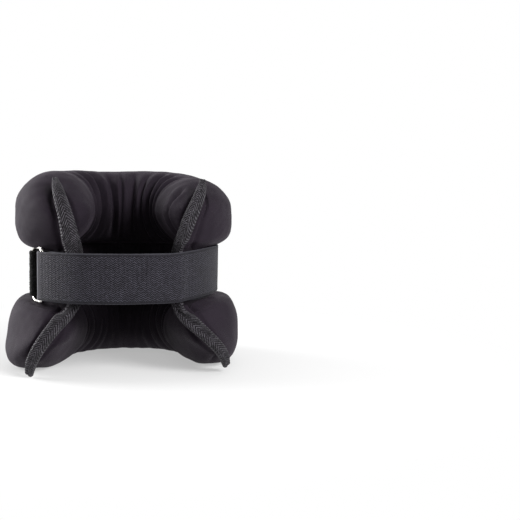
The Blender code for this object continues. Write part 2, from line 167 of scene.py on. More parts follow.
def grid_object(name, grid, surf, look, closed_round=False, caps=(False, False), flip=False, normals=None):
    """A mesh from a grid of points (along, round, 3). surf holds the place on the cloth in metres."""
    n, m = grid.shape[:2]
    index = np.arange(n * m).reshape(n, m)
    if closed_round:
        index = np.hstack([index, index[:, :1]])
    faces = np.stack([index[:-1, :-1], index[:-1, 1:], index[1:, 1:], index[1:, :-1]], -1).reshape(-1, 4)
    if flip:
        faces = faces[:, ::-1]
    faces = faces.tolist()
    for wanted, row, turned in ((caps[0], 0, not flip), (caps[1], n - 1, flip)):
        if wanted:
            ring = [row * m + k for k in range(m)]
            quads = [[ring[k], ring[k + 1], ring[-2 - k], ring[-1 - k]] for k in range(m // 2 - 1)]
            faces += [quad[::-1] for quad in quads] if not turned else quads
    points = grid.reshape(-1, 3).copy()
    points[:, 1] += LEG_Y
    mesh = bpy.data.meshes.new(name)
    mesh.from_pydata(points.tolist(), [], faces)
    mesh.attributes.new("surf", "FLOAT_VECTOR", "POINT").data.foreach_set(
        "vector", np.ascontiguousarray(surf.reshape(-1, 3), np.float32).ravel()
    )
    mesh.attributes.new("rest", "FLOAT_VECTOR", "POINT").data.foreach_set(
        "vector", np.ascontiguousarray(points, np.float32).ravel()
    )
    mesh.shade_smooth()
    if normals is not None:
        mesh.normals_split_custom_set_from_vertices(normals.reshape(-1, 3).tolist())
    mesh.materials.append(look)
    made = bpy.data.objects.new(name, mesh)
    bpy.context.scene.collection.objects.link(made)
    return made


def grid_normals(grid, closed_round):
    along = np.gradient(grid, axis=0)
    if closed_round:
        round_ = np.roll(grid, -1, axis=1) - np.roll(grid, 1, axis=1)
    else:
        round_ = np.gradient(grid, axis=1)
    return normalised(np.cross(round_, along))


# Materials


def tree_of(name):
    """A new material, with its node tree and its Principled shader."""
    made = bpy.data.materials.new(name)
    made.use_nodes = True
    tree = made.node_tree
    return made, tree, tree.nodes["Principled BSDF"]


def node(tree, kind, values=(), **settings):
    """A node with these settings. values gives its inputs by index or name: a number, a colour or a socket."""
    made = tree.nodes.new(kind)
    for key, value in settings.items():
        setattr(made, key, value)
    for key, value in dict(values).items():
        if isinstance(value, bpy.types.NodeSocket):
            tree.links.new(value, made.inputs[key])
        else:
            made.inputs[key].default_value = value
    return made


def maths(tree, operation, a, b=0.0, c=0.0, clamp=False):
    return node(tree, "ShaderNodeMath", {0: a, 1: b, 2: c}, operation=operation, use_clamp=clamp).outputs[0]


def attribute(tree, name):
    return node(tree, "ShaderNodeAttribute", attribute_name=name).outputs["Vector"]


def noise_of(tree, vector, scale, detail=2.0, roughness=0.5, distortion=0.0):
    made = node(
        tree,
        "ShaderNodeTexNoise",
        {"Vector": vector, "Scale": scale, "Detail": detail, "Roughness": roughness, "Distortion": distortion},
    )
    return made.outputs[0]


def ramp(tree, factor, stops):
    """A colour ramp with (place, colour) stops."""
    made = node(tree, "ShaderNodeValToRGB", {0: factor})
    elements = made.color_ramp.elements
    while len(elements) < len(stops):
        elements.new(0.5)
    for element, (place, colour) in zip(elements, stops):
        element.position = place
        element.color = (*colour, 1)
    return made.outputs[0]


def mixed(tree, factor, a, b, blend="MIX"):
    made = node(tree, "ShaderNodeMix", data_type="RGBA", blend_type=blend)
    for key, value in ((0, factor), (6, a), (7, b)):
        if isinstance(value, bpy.types.NodeSocket):
            tree.links.new(value, made.inputs[key])
        else:
            made.inputs[key].default_value = value if key == 0 else (*value, 1)
    return made.outputs[2]


def bump(tree, height, distance, strength=1.0, normal=None):
    values = {"Height": height, "Distance": distance, "Strength": strength}
    if normal is not None:
        values["Normal"] = normal
    return node(tree, "ShaderNodeBump", values).outputs[0]


def stripes(tree, value, period):
    """A wave from 0 to 1 with this period in metres."""
    turn = maths(tree, "MULTIPLY", value, 2 * math.pi / period)
    return maths(tree, "MULTIPLY_ADD", maths(tree, "SINE", turn), 0.5, 0.5)


def zigzag(tree, value, period):
    """A triangle wave from 0 to 1."""
    return maths(tree, "PINGPONG", maths(tree, "DIVIDE", value, period), 0.5)


def xyz(tree, vector):
    made = node(tree, "ShaderNodeSeparateXYZ", {0: vector})
    return made.outputs[0], made.outputs[1], made.outputs[2]


def neoprene(name, dark, light):
    """Knit-faced foam rubber: a fine jersey knit, with soft shade changes, a little lint and a dull sheen."""
    made, tree, shader = tree_of(name)
    rest = attribute(tree, "rest")
    u, v, inside = xyz(tree, attribute(tree, "surf"))
    broad = noise_of(tree, rest, 34, 3, 0.55)
    fine = noise_of(tree, rest, 1500, 2, 0.6)
    mottled = noise_of(tree, rest, 260, 4, 0.6)
    base = ramp(tree, broad, [(0.3, dark), (0.7, light)])
    column = zigzag(tree, u, 0.00062)
    row = stripes(tree, maths(tree, "ADD", v, maths(tree, "MULTIPLY", column, 0.0005)), 0.00052)
    knit = maths(tree, "MULTIPLY", row, maths(tree, "ADD", column, 0.5))
    shade = maths(tree, "MULTIPLY_ADD", maths(tree, "ADD", fine, mottled), 0.42, 0.50)
    shade = maths(tree, "MULTIPLY", shade, maths(tree, "MULTIPLY_ADD", knit, 0.22, 0.92))
    # Painted shade: the colour is darkened by up to 84% on the shaded side against the leg, where the third place on
    # the cloth marks it
    shade = maths(tree, "MULTIPLY", shade, maths(tree, "MULTIPLY_ADD", inside, -0.84, 1.0))
    grey = node(tree, "ShaderNodeCombineColor", {0: shade, 1: shade, 2: shade}).outputs[0]
    colour = mixed(tree, 1.0, base, grey, "MULTIPLY")
    lint = maths(tree, "GREATER_THAN", noise_of(tree, rest, 900, 0, 0.5), 0.79)
    lint = maths(tree, "MULTIPLY", lint, maths(tree, "GREATER_THAN", noise_of(tree, rest, 90, 1, 0.5), 0.62))
    colour = mixed(tree, maths(tree, "MULTIPLY", lint, 0.2), colour, (0.06, 0.055, 0.06))
    tree.links.new(colour, shader.inputs["Base Color"])
    rough = maths(tree, "MULTIPLY_ADD", mottled, 0.18, 0.60)
    tree.links.new(rough, shader.inputs["Roughness"])
    shader.inputs["Specular IOR Level"].default_value = 0.13
    shader.inputs["Specular Tint"].default_value = (0.95, 0.78, 1.0, 1)
    shader.inputs["Sheen Weight"].default_value = 0.034
    shader.inputs["Sheen Roughness"].default_value = 0.45
    shader.inputs["Sheen Tint"].default_value = (0.86, 0.72, 0.90, 1)
    normal = bump(tree, mottled, 0.00016, 0.6)
    normal = bump(tree, knit, 0.00009, 0.8, normal)
    tree.links.new(normal, shader.inputs["Normal"])
    return made


def webbing(name):
    """Herringbone webbing: lines of weft that zigzag across the strap, with a plain selvedge at each edge."""
    made, tree, shader = tree_of(name)
    rest = attribute(tree, "rest")
    u, v, fold_highlight = xyz(tree, attribute(tree, "surf"))
    zig = zigzag(tree, u, 0.0027)
    line = maths(tree, "MULTIPLY_ADD", zig, 0.0022, v)
    line = maths(tree, "MULTIPLY_ADD", noise_of(tree, rest, 700, 2, 0.6), 0.0009, line)
    weft = stripes(tree, line, 0.00132)
    warp = stripes(tree, u, 0.00056)
    weave = maths(tree, "MULTIPLY", weft, maths(tree, "MULTIPLY_ADD", warp, 0.35, 0.65))
    edge = maths(tree, "GREATER_THAN", maths(tree, "ABSOLUTE", v), 0.0134)
    selvedge = maths(tree, "MULTIPLY_ADD", stripes(tree, u, 0.0009), 0.3, 0.12)
    height = node(tree, "ShaderNodeMix", {0: edge, 2: weave, 3: selvedge}, data_type="FLOAT").outputs[0]
    # The raised threads get pale colours and the gaps between them near-black: painted highlight and painted shade of
    # the weave
    shades = [(0.0, (0.0008, 0.0008, 0.0011)), (0.45, (0.0068, 0.0067, 0.0088)), (1.0, (0.044, 0.043, 0.054))]
    base = ramp(tree, height, shades)
    worn = noise_of(tree, rest, 120, 4, 0.65)
    fleck = noise_of(tree, rest, 620, 2, 0.6)
    worn_and_fleck = maths(tree, "MULTIPLY_ADD", fleck, 0.7, maths(tree, "MULTIPLY", worn, 0.4))
    grey = node(tree, "ShaderNodeMapRange", {0: worn_and_fleck, 1: 0.35, 2: 0.75, 3: 0.45, 4: 1.7}).outputs[0]
    shade = node(tree, "ShaderNodeCombineColor", {0: grey, 1: grey, 2: grey}).outputs[0]
    colour = mixed(tree, 1.0, base, shade, "MULTIPLY")
    # The strap's rounded edges are painted paler: painted highlight along the edges
    from_middle = maths(tree, "ABSOLUTE", v)
    edge_highlight = node(tree, "ShaderNodeMapRange", {0: from_middle, 1: 0.0143, 2: 0.0150, 3: 0.0, 4: 0.9}).outputs[0]
    colour = mixed(tree, edge_highlight, colour, (0.040, 0.040, 0.048))
    # Painted highlight: a pale band where the strap folds round the ring
    colour = mixed(tree, maths(tree, "MULTIPLY", fold_highlight, 0.75), colour, (0.16, 0.16, 0.18))
    tree.links.new(colour, shader.inputs["Base Color"])
    tree.links.new(maths(tree, "MULTIPLY_ADD", worn, 0.2, 0.52), shader.inputs["Roughness"])
    shader.inputs["Specular IOR Level"].default_value = 0.20
    shader.inputs["Specular Tint"].default_value = (0.92, 0.86, 1.0, 1)
    shader.inputs["Sheen Weight"].default_value = 0.02
    shader.inputs["Sheen Roughness"].default_value = 0.35
    normal = bump(tree, worn, 0.00012, 0.5)
    normal = bump(tree, height, 0.00032, 1.0, normal)
    tree.links.new(normal, shader.inputs["Normal"])
    return made


def binding_tape(name):
    """Ribbed herringbone tape: ribs that meet in a V along the middle."""
    made, tree, shader = tree_of(name)
    rest = attribute(tree, "rest")
    u, v, _ = xyz(tree, attribute(tree, "surf"))
    rib = stripes(tree, maths(tree, "MULTIPLY_ADD", maths(tree, "ABSOLUTE", v), 1.1, u), 0.0017)
    thread = stripes(tree, maths(tree, "SUBTRACT", v, maths(tree, "MULTIPLY", u, 0.4)), 0.00042)
    worn = noise_of(tree, rest, 520, 3, 0.7)
    height = maths(tree, "MULTIPLY_ADD", thread, 0.25, rib)
    # The crests of the ribs are painted pale and the valleys near-black: painted highlight and painted shade of the
    # ribs
    shades = [(0.0, (0.0002, 0.0002, 0.0003)), (0.5, (0.0016, 0.0015, 0.0018)), (1.0, (0.060, 0.057, 0.064))]
    base = ramp(tree, maths(tree, "MULTIPLY", height, 0.8), shades)
    shade = node(tree, "ShaderNodeMapRange", {0: worn, 1: 0.36, 2: 0.64, 3: 0.15, 4: 1.9}).outputs[0]
    grey = node(tree, "ShaderNodeCombineColor", {0: shade, 1: shade, 2: shade}).outputs[0]
    colour = mixed(tree, 1.0, base, grey, "MULTIPLY")
    tree.links.new(colour, shader.inputs["Base Color"])
    tree.links.new(maths(tree, "MULTIPLY_ADD", worn, 0.2, 0.5), shader.inputs["Roughness"])
    shader.inputs["Specular IOR Level"].default_value = 0.3
    shader.inputs["Specular Tint"].default_value = (0.95, 0.86, 1.0, 1)
    shader.inputs["Sheen Weight"].default_value = 0.01
    normal = bump(tree, height, 0.0005, 1.0)
    tree.links.new(normal, shader.inputs["Normal"])
    return made


def fuzzy(name, dark, light, speck):
    """Loop pile: a tangle of fine loops, with paler specks where the light catches them."""
    made, tree, shader = tree_of(name)
    rest = attribute(tree, "rest")
    tangle = noise_of(tree, rest, 640, 4, 0.8, 1.2)
    clumps = noise_of(tree, rest, 210, 3, 0.6, 0.8)
    cells = node(tree, "ShaderNodeTexVoronoi", {"Vector": rest, "Scale": 1300.0}).outputs["Distance"]
    height = maths(tree, "ADD", maths(tree, "MULTIPLY", tangle, 1.0), maths(tree, "MULTIPLY", cells, -0.5))
    colour = ramp(tree, tangle, [(0.42, dark), (0.56, light), (0.68, speck)])
    shade = node(tree, "ShaderNodeMapRange", {0: clumps, 1: 0.35, 2: 0.65, 3: 0.55, 4: 1.35}).outputs[0]
    grey = node(tree, "ShaderNodeCombineColor", {0: shade, 1: shade, 2: shade}).outputs[0]
    tree.links.new(mixed(tree, 1.0, colour, grey, "MULTIPLY"), shader.inputs["Base Color"])
    tree.links.new(maths(tree, "MULTIPLY_ADD", clumps, 0.2, 0.75), shader.inputs["Roughness"])
    shader.inputs["Specular IOR Level"].default_value = 0.1
    shader.inputs["Sheen Weight"].default_value = 0.05
    shader.inputs["Sheen Roughness"].default_value = 0.6
    normal = bump(tree, clumps, 0.0006, 0.6)
    normal = bump(tree, height, 0.0009, 1.0, normal)
    tree.links.new(normal, shader.inputs["Normal"])
    return made


def sewing_thread(name, dark, light):
    """Twisted thread, with its plies as fine slanting lines."""
    made, tree, shader = tree_of(name)
    rest = attribute(tree, "rest")
    u, v, _ = xyz(tree, attribute(tree, "surf"))
    ply = stripes(tree, maths(tree, "ADD", u, v), 0.00045)
    worn = noise_of(tree, rest, 700, 2, 0.6)
    colour = ramp(tree, maths(tree, "MULTIPLY", maths(tree, "ADD", ply, worn), 0.5), [(0.2, dark), (0.8, light)])
    tree.links.new(colour, shader.inputs["Base Color"])
    tree.links.new(maths(tree, "MULTIPLY_ADD", worn, 0.3, 0.4), shader.inputs["Roughness"])
    tree.links.new(bump(tree, ply, 0.00012, 0.8), shader.inputs["Normal"])
    return made


def plated_metal(name):
    """Bright nickel plate over wire, with fine drawing lines, small dull patches and scratches."""
    made, tree, shader = tree_of(name)
    rest = attribute(tree, "rest")
    u, v, _ = xyz(tree, attribute(tree, "surf"))
    dull = noise_of(tree, rest, 420, 4, 0.6)
    stretched = {0: maths(tree, "MULTIPLY", u, 90), 1: maths(tree, "MULTIPLY", v, 4500)}
    drawn = noise_of(tree, node(tree, "ShaderNodeCombineXYZ", stretched).outputs[0], 1.0, 3, 0.6)
    colour = ramp(tree, dull, [(0.3, (0.86, 0.84, 0.80)), (0.75, (0.62, 0.60, 0.57))])
    tree.links.new(colour, shader.inputs["Base Color"])
    shader.inputs["Metallic"].default_value = 1.0
    rough = node(tree, "ShaderNodeMapRange", {0: dull, 1: 0.3, 2: 0.8, 3: 0.14, 4: 0.34}).outputs[0]
    tree.links.new(rough, shader.inputs["Roughness"])
    tree.links.new(bump(tree, drawn, 0.00003, 0.5), shader.inputs["Normal"])
    return made


def hook_field(name):
    """The hook patch: rows of small moulded hooks on a woven ground."""
    made, tree, shader = tree_of(name)
    rest = node(tree, "ShaderNodeTexCoord").outputs["Object"]
    cells = node(tree, "ShaderNodeTexVoronoi", {"Vector": rest, "Scale": 850.0, "Randomness": 0.25})
    hooks = maths(tree, "SUBTRACT", 0.6, cells.outputs["Distance"], clamp=True)
    worn = noise_of(tree, rest, 300, 3, 0.6)
    colour = ramp(tree, hooks, [(0.0, (0.008, 0.008, 0.009)), (0.6, (0.045, 0.045, 0.048))])
    tree.links.new(colour, shader.inputs["Base Color"])
    tree.links.new(maths(tree, "MULTIPLY_ADD", worn, 0.3, 0.35), shader.inputs["Roughness"])
    tree.links.new(bump(tree, hooks, 0.0006, 1.0), shader.inputs["Normal"])
    return made


def inner_cloth(name, dark, light, scale, metallic=0.0):
    """The pouches and the sand in them, which only show if a cover is taken off."""
    made, tree, shader = tree_of(name)
    rest = node(tree, "ShaderNodeTexCoord").outputs["Object"]
    grain = noise_of(tree, rest, scale, 3, 0.7)
    tree.links.new(ramp(tree, grain, [(0.3, dark), (0.7, light)]), shader.inputs["Base Color"])
    tree.links.new(maths(tree, "MULTIPLY_ADD", grain, 0.3, 0.6), shader.inputs["Roughness"])
    shader.inputs["Metallic"].default_value = metallic
    tree.links.new(bump(tree, grain, 0.0003, 0.8), shader.inputs["Normal"])
    return made


COVER_LOOK = neoprene("cover_neoprene", (0.0072, 0.0054, 0.0080), (0.0118, 0.0088, 0.0128))
# The waist's lining is the cover's knit in darker colours: painted shade of the cuff's inside and of the waist between
# the rolls
SHADED_LINING_LOOK = neoprene("lining_neoprene_painted_shade", (0.0024, 0.0020, 0.0027), (0.0042, 0.0035, 0.0046))
WEBBING_LOOK = webbing("strap_webbing")
BINDING_LOOK = binding_tape("binding_tape")
LOOP_LOOK = fuzzy("loop_pile", (0.0010, 0.0010, 0.0010), (0.0060, 0.0060, 0.0065), (0.045, 0.045, 0.048))
THREAD_LOOK = sewing_thread("sewing_thread", (0.0040, 0.0040, 0.0046), (0.034, 0.033, 0.037))
METAL_LOOK = plated_metal("nickel_plate")

# The rolls


def seam_points(level, side, u):
    """Seam points, fin directions, outward sides and seam directions at u, from 0 at the waist to 1 at the tip."""
    roll = ROLLS[level]
    waist_z = WAIST_TOP_Z if roll["up"] > 0 else WAIST_BOTTOM_Z
    a = polar(WAIST_RADIUS, WAIST_END_ANGLE, waist_z)
    b, c, d = (np.array(p) for p in SEAM_HANDLES[level, side])
    t = np.asarray(u, float)[..., None]
    point = bezier(a, b, c, d, t)
    along = normalised(bezier(a, b, c, d, np.minimum(t + 0.01, 1)) - bezier(a, b, c, d, np.maximum(t - 0.01, 0)))
    along = normalised(along + (1 - smoothstep(t, 0, 0.25)) * 3 * (np.array([0, 0, roll["up"]]) - along))
    fin = forward_at(WAIST_END_ANGLE) * (1 - t) + normalised(np.array(TIP_FIN[level])) * t
    fin = normalised(fin - along * (fin * along).sum(-1, keepdims=True))
    outward = np.cross(fin, along) * roll["up"]
    return point, fin, outward, along


def sagged(points, level, side):
    """Points of an upper roll as its filling settles: the ends sit lower, the right one more than the left."""
    if level == "lower":
        return points
    moved = points.copy()
    x, y, z = points[..., 0], points[..., 1], points[..., 2]
    toward_end = smoothstep(np.abs(np.degrees(np.arctan2(-x, y))), 35, 95)
    drop = (0.0010 if side > 0 else 0.0046) * toward_end * smoothstep(z, 0.090, 0.128)
    pull = (0.0018 if side > 0 else 0.0024) * toward_end * smoothstep(z, 0.080, 0.100)
    radius = np.maximum(np.hypot(x, y), 1e-6)
    moved[..., 0] -= x / radius * pull
    moved[..., 1] -= y / radius * pull
    moved[..., 2] -= drop
    return moved


# Folds of the rolls' inner side: angle, depth from 0 to 1, slant, and how far up they start
FOLDS = {
    "upper": [
        (88, 0.60, 0.02, 112), (72, 0.66, 0.03, 108), (57, 0.74, 0.03, 104), (41, 0.86, 0.02, 102),
        (19, 1.00, -0.02, 112), (6, 0.45, 0.00, 108), (-11, 0.98, 0.02, 112), (-29, 0.48, 0.00, 118),
        (-44, 0.90, -0.03, 104), (-60, 0.72, -0.02, 106), (-76, 0.78, -0.03, 104), (-95, 0.68, -0.02, 112),
        (-117, 0.75, -0.02, 116),
    ],
    "lower": [
        (92, 0.50, 0.00, 100), (77, 0.60, 0.02, 104), (64, 0.45, 0.01, 100), (50, 0.80, 0.02, 100),
        (37, 0.50, -0.01, 104), (25, 0.70, 0.01, 100), (13, 0.40, 0.00, 106), (2, 0.85, -0.01, 100),
        (-12, 0.45, 0.01, 104), (-24, 0.60, 0.00, 100), (-38, 0.75, -0.02, 102), (-52, 0.50, 0.00, 100),
        (-67, 0.70, -0.02, 100), (-84, 0.55, 0.00, 104),
    ],
}


def gathers(angle, turn, level):
    """Depth in metres, below 0, of the folds that the bend puts into a roll's inner side."""
    total = np.zeros(np.broadcast(angle, turn).shape)
    for place, deep, lean, top in FOLDS[level]:
        bend = lean * (turn - 150) + 1.2 * np.sin(np.radians(turn * 2 + place * 7))
        off = angle - place - bend
        width = (1.5 + 2.1 * deep * deep) * (0.7 if abs(place) > 100 else 1.0)
        crease = np.exp(-((np.abs(off) / width) ** 1.35))
        shoulder = 0.42 * np.exp(-((np.abs(off) - 2.5 * width) / (1.35 * width)) ** 2)
        fade = smoothstep(turn, top - 12, top + 30) * smoothstep(-turn, -262 + 14 * deep, -205)
        total += deep * (shoulder - crease) * fade
    return np.maximum(total, -1.15) * (0.0030 if level == "upper" else 0.0013)


def roll_half(level, side):
    """Half a roll's skin, as on the left: a grid of points from the back to the end seam, with (angle, section angle)."""
    roll = ROLLS[level]
    up = roll["up"]
    count = POINTS_PER_PANEL
    start = -math.degrees(math.acos((WAIST_RADIUS - roll["radius"]) / ROLL_HALF_WIDTH))
    middle = (np.arange(count) + 0.5) / count
    turns = np.concatenate([start + (TIP_ANGLE - start) * middle, TIP_ANGLE + (360 + start - TIP_ANGLE) * middle])
    u = np.concatenate([np.arange(count), np.arange(count)[::-1]]) / (count - 1)
    sides = np.repeat([1.0, -1.0], count)[:, None]
    cos, sin = np.cos(np.radians(turns)), np.sin(np.radians(turns))
    # Fuller than an ellipse where the roll bulges out beside the strap
    power = 3.0 if level == "lower" else 2.5
    square = (np.abs(cos) ** power + np.abs(sin) ** power) ** (-1 / power) - 1
    far = (60, 120) if level == "lower" else (-15, 35)
    full = 1 + square * smoothstep(turns, start + 2, start + 38) * smoothstep(-turns, -far[1], -far[0])

    def section(angle):
        toward_end = smoothstep(angle, 25, 85)
        more = 1 + (full - 1) * (0.35 + 0.65 * toward_end)
        point = unit_at(angle) * (roll["radius"] + cos * ROLL_HALF_WIDTH * more)[:, None]
        rise = sin * roll["half_height"] * more * up
        # It swells over the strap's edge
        if side > 0 or level == "lower":
            rise = rise - up * 0.0024 * toward_end * np.exp(-(((turns + 50) / 20) ** 2))
        if level == "lower":
            # The inner side of the base is drawn up off the floor
            drawn = smoothstep(turns, 78, 135) * smoothstep(-turns, -250, -170)
            rise = rise + drawn * (0.0021 + 0.0010 * toward_end)
        point[:, 2] = roll["z"] + rise
        return point

    arc = np.arange(0, roll["end_angle"] + 1e-6, ARC_STEP)
    sections = [section(a) for a in arc[:-1]]
    first = section(roll["end_angle"])
    forward = forward_at(roll["end_angle"])
    point, fin, outward, _ = seam_points(level, side, u)
    end = point + outward * (sides * 0.0011)
    bulge = (np.sin(np.pi * u) ** 0.75)[:, None]
    reach = np.linalg.norm(end - first, axis=1, keepdims=True)
    sideways = np.abs(((first - end) * outward).sum(1, keepdims=True))
    ahead = np.maximum(((end - first) * forward).sum(1, keepdims=True), 0.012)
    handle_1 = first + forward * (0.66 * ahead)
    back = 0.22 * sideways * bulge - 0.33 * reach * (1 - bulge)
    handle_2 = end + outward * (sides * 0.62 * sideways * bulge) + fin * back
    pulled = (smoothstep(turns, 84, 150) * smoothstep(-turns, -290, -215))[:, None]
    pull = {"lower": (-0.0042, -0.0003, 0.0068), "upper": (-0.0062, -0.0004, -0.0008)}[level]
    if side > 0 and level == "upper":
        pull = (-0.0018, 0.0, 0.0)
    for t in np.linspace(0, 1, END_STEPS + 1):
        here = bezier(first, handle_1, handle_2, end, t)
        # Less filling reaches the inner side of the ends, so the cloth there is drawn toward the seam
        sections.append(here + pulled * math.sin(math.pi * t**0.8) * np.array(pull))
    # The sewn edge runs on into the binding
    sections += [end + fin * 0.0012, end + fin * 0.0026, end + fin * 0.0038]
    past_end = roll["end_angle"] + np.linspace(0, 1, END_STEPS + 1)[1:] * 42
    angles = np.concatenate([arc, past_end, [142.5, 143, 143.5]])
    grid = sagged(np.array(sections), level, side)
    if (level, side) == ("lower", 1):
        # The base's left end has settled outward
        settled = (smoothstep(angles, 55, 100) * smoothstep(-angles, -141, -122))[:, None]
        settled = settled * np.exp(-(((turns - 38) / 36) ** 2))[None, :]
        grid[..., 0] -= 0.0032 * settled
        grid[..., 2] -= 0.0012 * settled
    return grid, angles, turns, u


def build_bag(level, side, name, depth, look):
    """A bag inside half a roll, this deep below the cover: the sand pouch or the sand itself."""
    grid, angles, _, _ = roll_half(level, side)
    grid = grid[(angles >= 3) & (angles <= ROLLS[level]["end_angle"] - 1), ::4][::3]
    middle = grid.mean(axis=1, keepdims=True)
    share = np.full(len(grid), 1 - depth / ROLL_HALF_WIDTH)
    rounded = np.array([0.15, 0.62, 0.86, 0.96])
    share[:4] *= rounded
    share[-4:] *= rounded[::-1]
    grid = middle + (grid - middle) * share[:, None, None]
    surf = np.zeros(grid.shape)
    surf[..., 0] = np.linspace(0, 0.08, len(grid))[:, None]
    if side < 0:
        grid[..., 0] *= -1
    return grid_object(name, grid, surf, look, closed_round=True, caps=(True, True), flip=side < 0)


def build_roll(level):
    left, angles, turns, u = roll_half(level, 1)
    right = roll_half(level, -1)[0]
    right[..., 0] *= -1
    grid = np.concatenate([left[::-1], right[1:]])
    angle = np.concatenate([angles[::-1], -angles[1:]])[:, None] + np.zeros(len(turns))
    turn = np.broadcast_to(turns, angle.shape)
    normal = grid_normals(grid, True)
    back = len(grid) // 2
    from_axis = grid[back, 0] - polar(ROLLS[level]["radius"], 0, ROLLS[level]["z"])
    if (normal[back, 0] * from_axis).sum() < 0:
        normal = -normal
    seed = {"upper": 5, "lower": 11}[level]
    inner = np.where(angle < 0, smoothstep(-angle, 131, 121), smoothstep(angle, 118, 92))
    depth = gathers(angle, turn, level) * inner
    # Broad soft unevenness of the filling, and small puckers beside the end seam
    depth = depth + 0.0007 * wobble(seed, grid[..., 0], grid[..., 1], grid[..., 2], scale=110)
    depth = depth + 0.00022 * wobble(seed + 1, grid[..., 0], grid[..., 1], grid[..., 2], scale=420)
    # The cloth dips where the binding's edges press into it
    to_seam = np.linalg.norm(grid - np.where(angle[..., None] > 0, grid[3], grid[-4]), axis=-1)
    edge_at = np.interp(u, [0, 0.3, 1], [0.0062, 0.0052, 0.0038])[None, :]
    depth = depth - 0.0016 * np.exp(-(((to_seam - edge_at) / 0.0013) ** 2)) * (np.abs(angle) > 105)
    near_seam = np.exp(-np.maximum(142 - np.abs(angle), 0) / 5.0)
    pucker = np.sin(u[None, :] * 2 * np.pi * 9 + 1.5 * np.sin(u[None, :] * 19 + np.sign(angle)))
    depth = depth + 0.00055 * near_seam * pucker * smoothstep(np.abs(angle), 141.9, 137)
    grid = grid + normal * depth[..., None]
    # It rests on the floor
    if level == "lower":
        z = grid[..., 2]
        grid[..., 2] = 0.5 * (z + np.sqrt(z * z + 0.0012**2)) - 0.0001
    along = lengths_along(polar(ROLLS[level]["radius"] * np.ones(len(angles)), angles, 0))
    long_way = np.concatenate([along[::-1], -along[1:]])
    surf = np.zeros(grid.shape)
    surf[..., 0] = long_way[:, None]
    surf[..., 1] = np.radians(turns)[None, :] * 0.024
    # The third place on the cloth marks where painted shade goes: the side against the leg, fading toward the ends,
    # and on the base reaching into the inner end lobes
    if level == "upper":
        leg_side_shade = smoothstep(turns, 148, 212) * smoothstep(-turns, -325, -290)
    else:
        leg_side_shade = smoothstep(turns, 118, 165) * smoothstep(-turns, -325, -290)
    reach = smoothstep(-np.abs(angle), -116, -102)
    if level == "lower":
        reach = 0.40 * smoothstep(-np.abs(angle), -141, -120) + 0.60 * smoothstep(-np.abs(angle), -110, -96)
    surf[..., 2] = leg_side_shade[None, :] * reach
    made = grid_object(f"{level}_roll", grid, surf, COVER_LOOK, closed_round=True, flip=True)
    return made


def finish_piece(made, replaced=()):
    if replaced:
        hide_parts(*replaced)
    return made


for level in ROLLS:
    roll = finish_piece(
        build_roll(level), [f"left_{level}_roll_cover", f"right_{level}_roll_cover"]
    )
    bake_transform(roll)

# The waist: a foam panel between the rolls, smooth outside and gathered inside


def build_waist():
    angles = np.linspace(WAIST_END_ANGLE + 4.5, -WAIST_END_ANGLE - 4.5, 260)
    heights = np.linspace(WAIST_BOTTOM_Z - 0.004, WAIST_TOP_Z + 0.004, 22)
    a, z = np.meshgrid(angles, heights, indexing="ij")
    fold = gathers(a, 180 + (z - STRAP_Z) * 900, "upper") * smoothstep(np.abs(a), 125, 95)
    taper = smoothstep(np.abs(a), 134, 141.5)
    inner_radius = 0.0512 - fold * 0.7 + 0.0008 * taper
    outer_radius = 0.0549 - 0.0009 * taper + 0.0002 * wobble(3, a * 0.1, z * 300, scale=1)
    inner = polar(inner_radius, a, z)
    outer = polar(outer_radius, a, z)
    past = np.maximum(np.abs(a) - WAIST_END_ANGLE, 0)
    for skin in (inner, outer):
        skin[..., 1] -= past * 0.00035
    grid = np.concatenate([outer, inner[:, ::-1]], axis=1)
    surf = np.zeros(grid.shape)
    surf[..., 0] = (np.radians(angles) * 0.054)[:, None]
    surf[..., 1] = np.concatenate([heights, heights[::-1]])[None, :]
    return grid_object("waist_panel", grid, surf, SHADED_LINING_LOOK, closed_round=True, caps=(True, True))


waist = finish_piece(
    build_waist(),
    ["left_waist_outer_panel", "right_waist_outer_panel", "left_waist_inner_panel", "right_waist_inner_panel"],
)
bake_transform(waist)

# The bindings


def seam_line(side, step=0.0005):
    """The whole end seam from below the lower tip to above the upper tip, evenly spaced."""
    fine = np.linspace(0, 1, 240)
    lower = [part[::-1] for part in seam_points("lower", side, fine)]
    lower[3] = -lower[3]
    upper = list(seam_points("upper", side, fine))
    z = np.linspace(WAIST_BOTTOM_Z, WAIST_TOP_Z, 60)[1:-1]
    middle = [
        polar(np.full(len(z), WAIST_RADIUS), np.full(len(z), WAIST_END_ANGLE), z),
        np.repeat(forward_at(WAIST_END_ANGLE)[None], len(z), 0),
        np.repeat(unit_at(WAIST_END_ANGLE)[None], len(z), 0),
        np.repeat([[0.0, 0, 1]], len(z), 0),
    ]
    upper[0] = sagged(upper[0], "upper", side)
    line = [np.concatenate([a, b, c]) for a, b, c in zip(lower, middle, upper)]
    start = line[0][0] - line[3][0] * 0.0035
    finish = line[0][-1] + line[3][-1] * 0.0035
    line = [
        np.vstack([first, part, last])
        for part, first, last in zip(
            line,
            (start, line[1][0], line[2][0], line[3][0]),
            (finish, line[1][-1], line[2][-1], line[3][-1]),
        )
    ]
    along = lengths_along(line[0])
    at = np.linspace(0, along[-1], int(along[-1] / step))
    even = [np.stack([np.interp(at, along, part[:, k]) for k in range(3)], -1) for part in line]
    for part, reach in zip(even, (8, 22, 22, 22)):
        padded = np.vstack([2 * part[:1] - part[reach:0:-1], part, 2 * part[-1:] - part[-2 : -reach - 2 : -1]])
        window = np.hanning(2 * reach + 3)[1:-1]
        for k in range(3):
            part[:, k] = np.convolve(padded[:, k], window / window.sum(), mode="valid")
    fin = normalised(even[1])
    outward = normalised(even[2] - fin * (even[2] * fin).sum(1, keepdims=True))
    return even[0], fin, outward, at


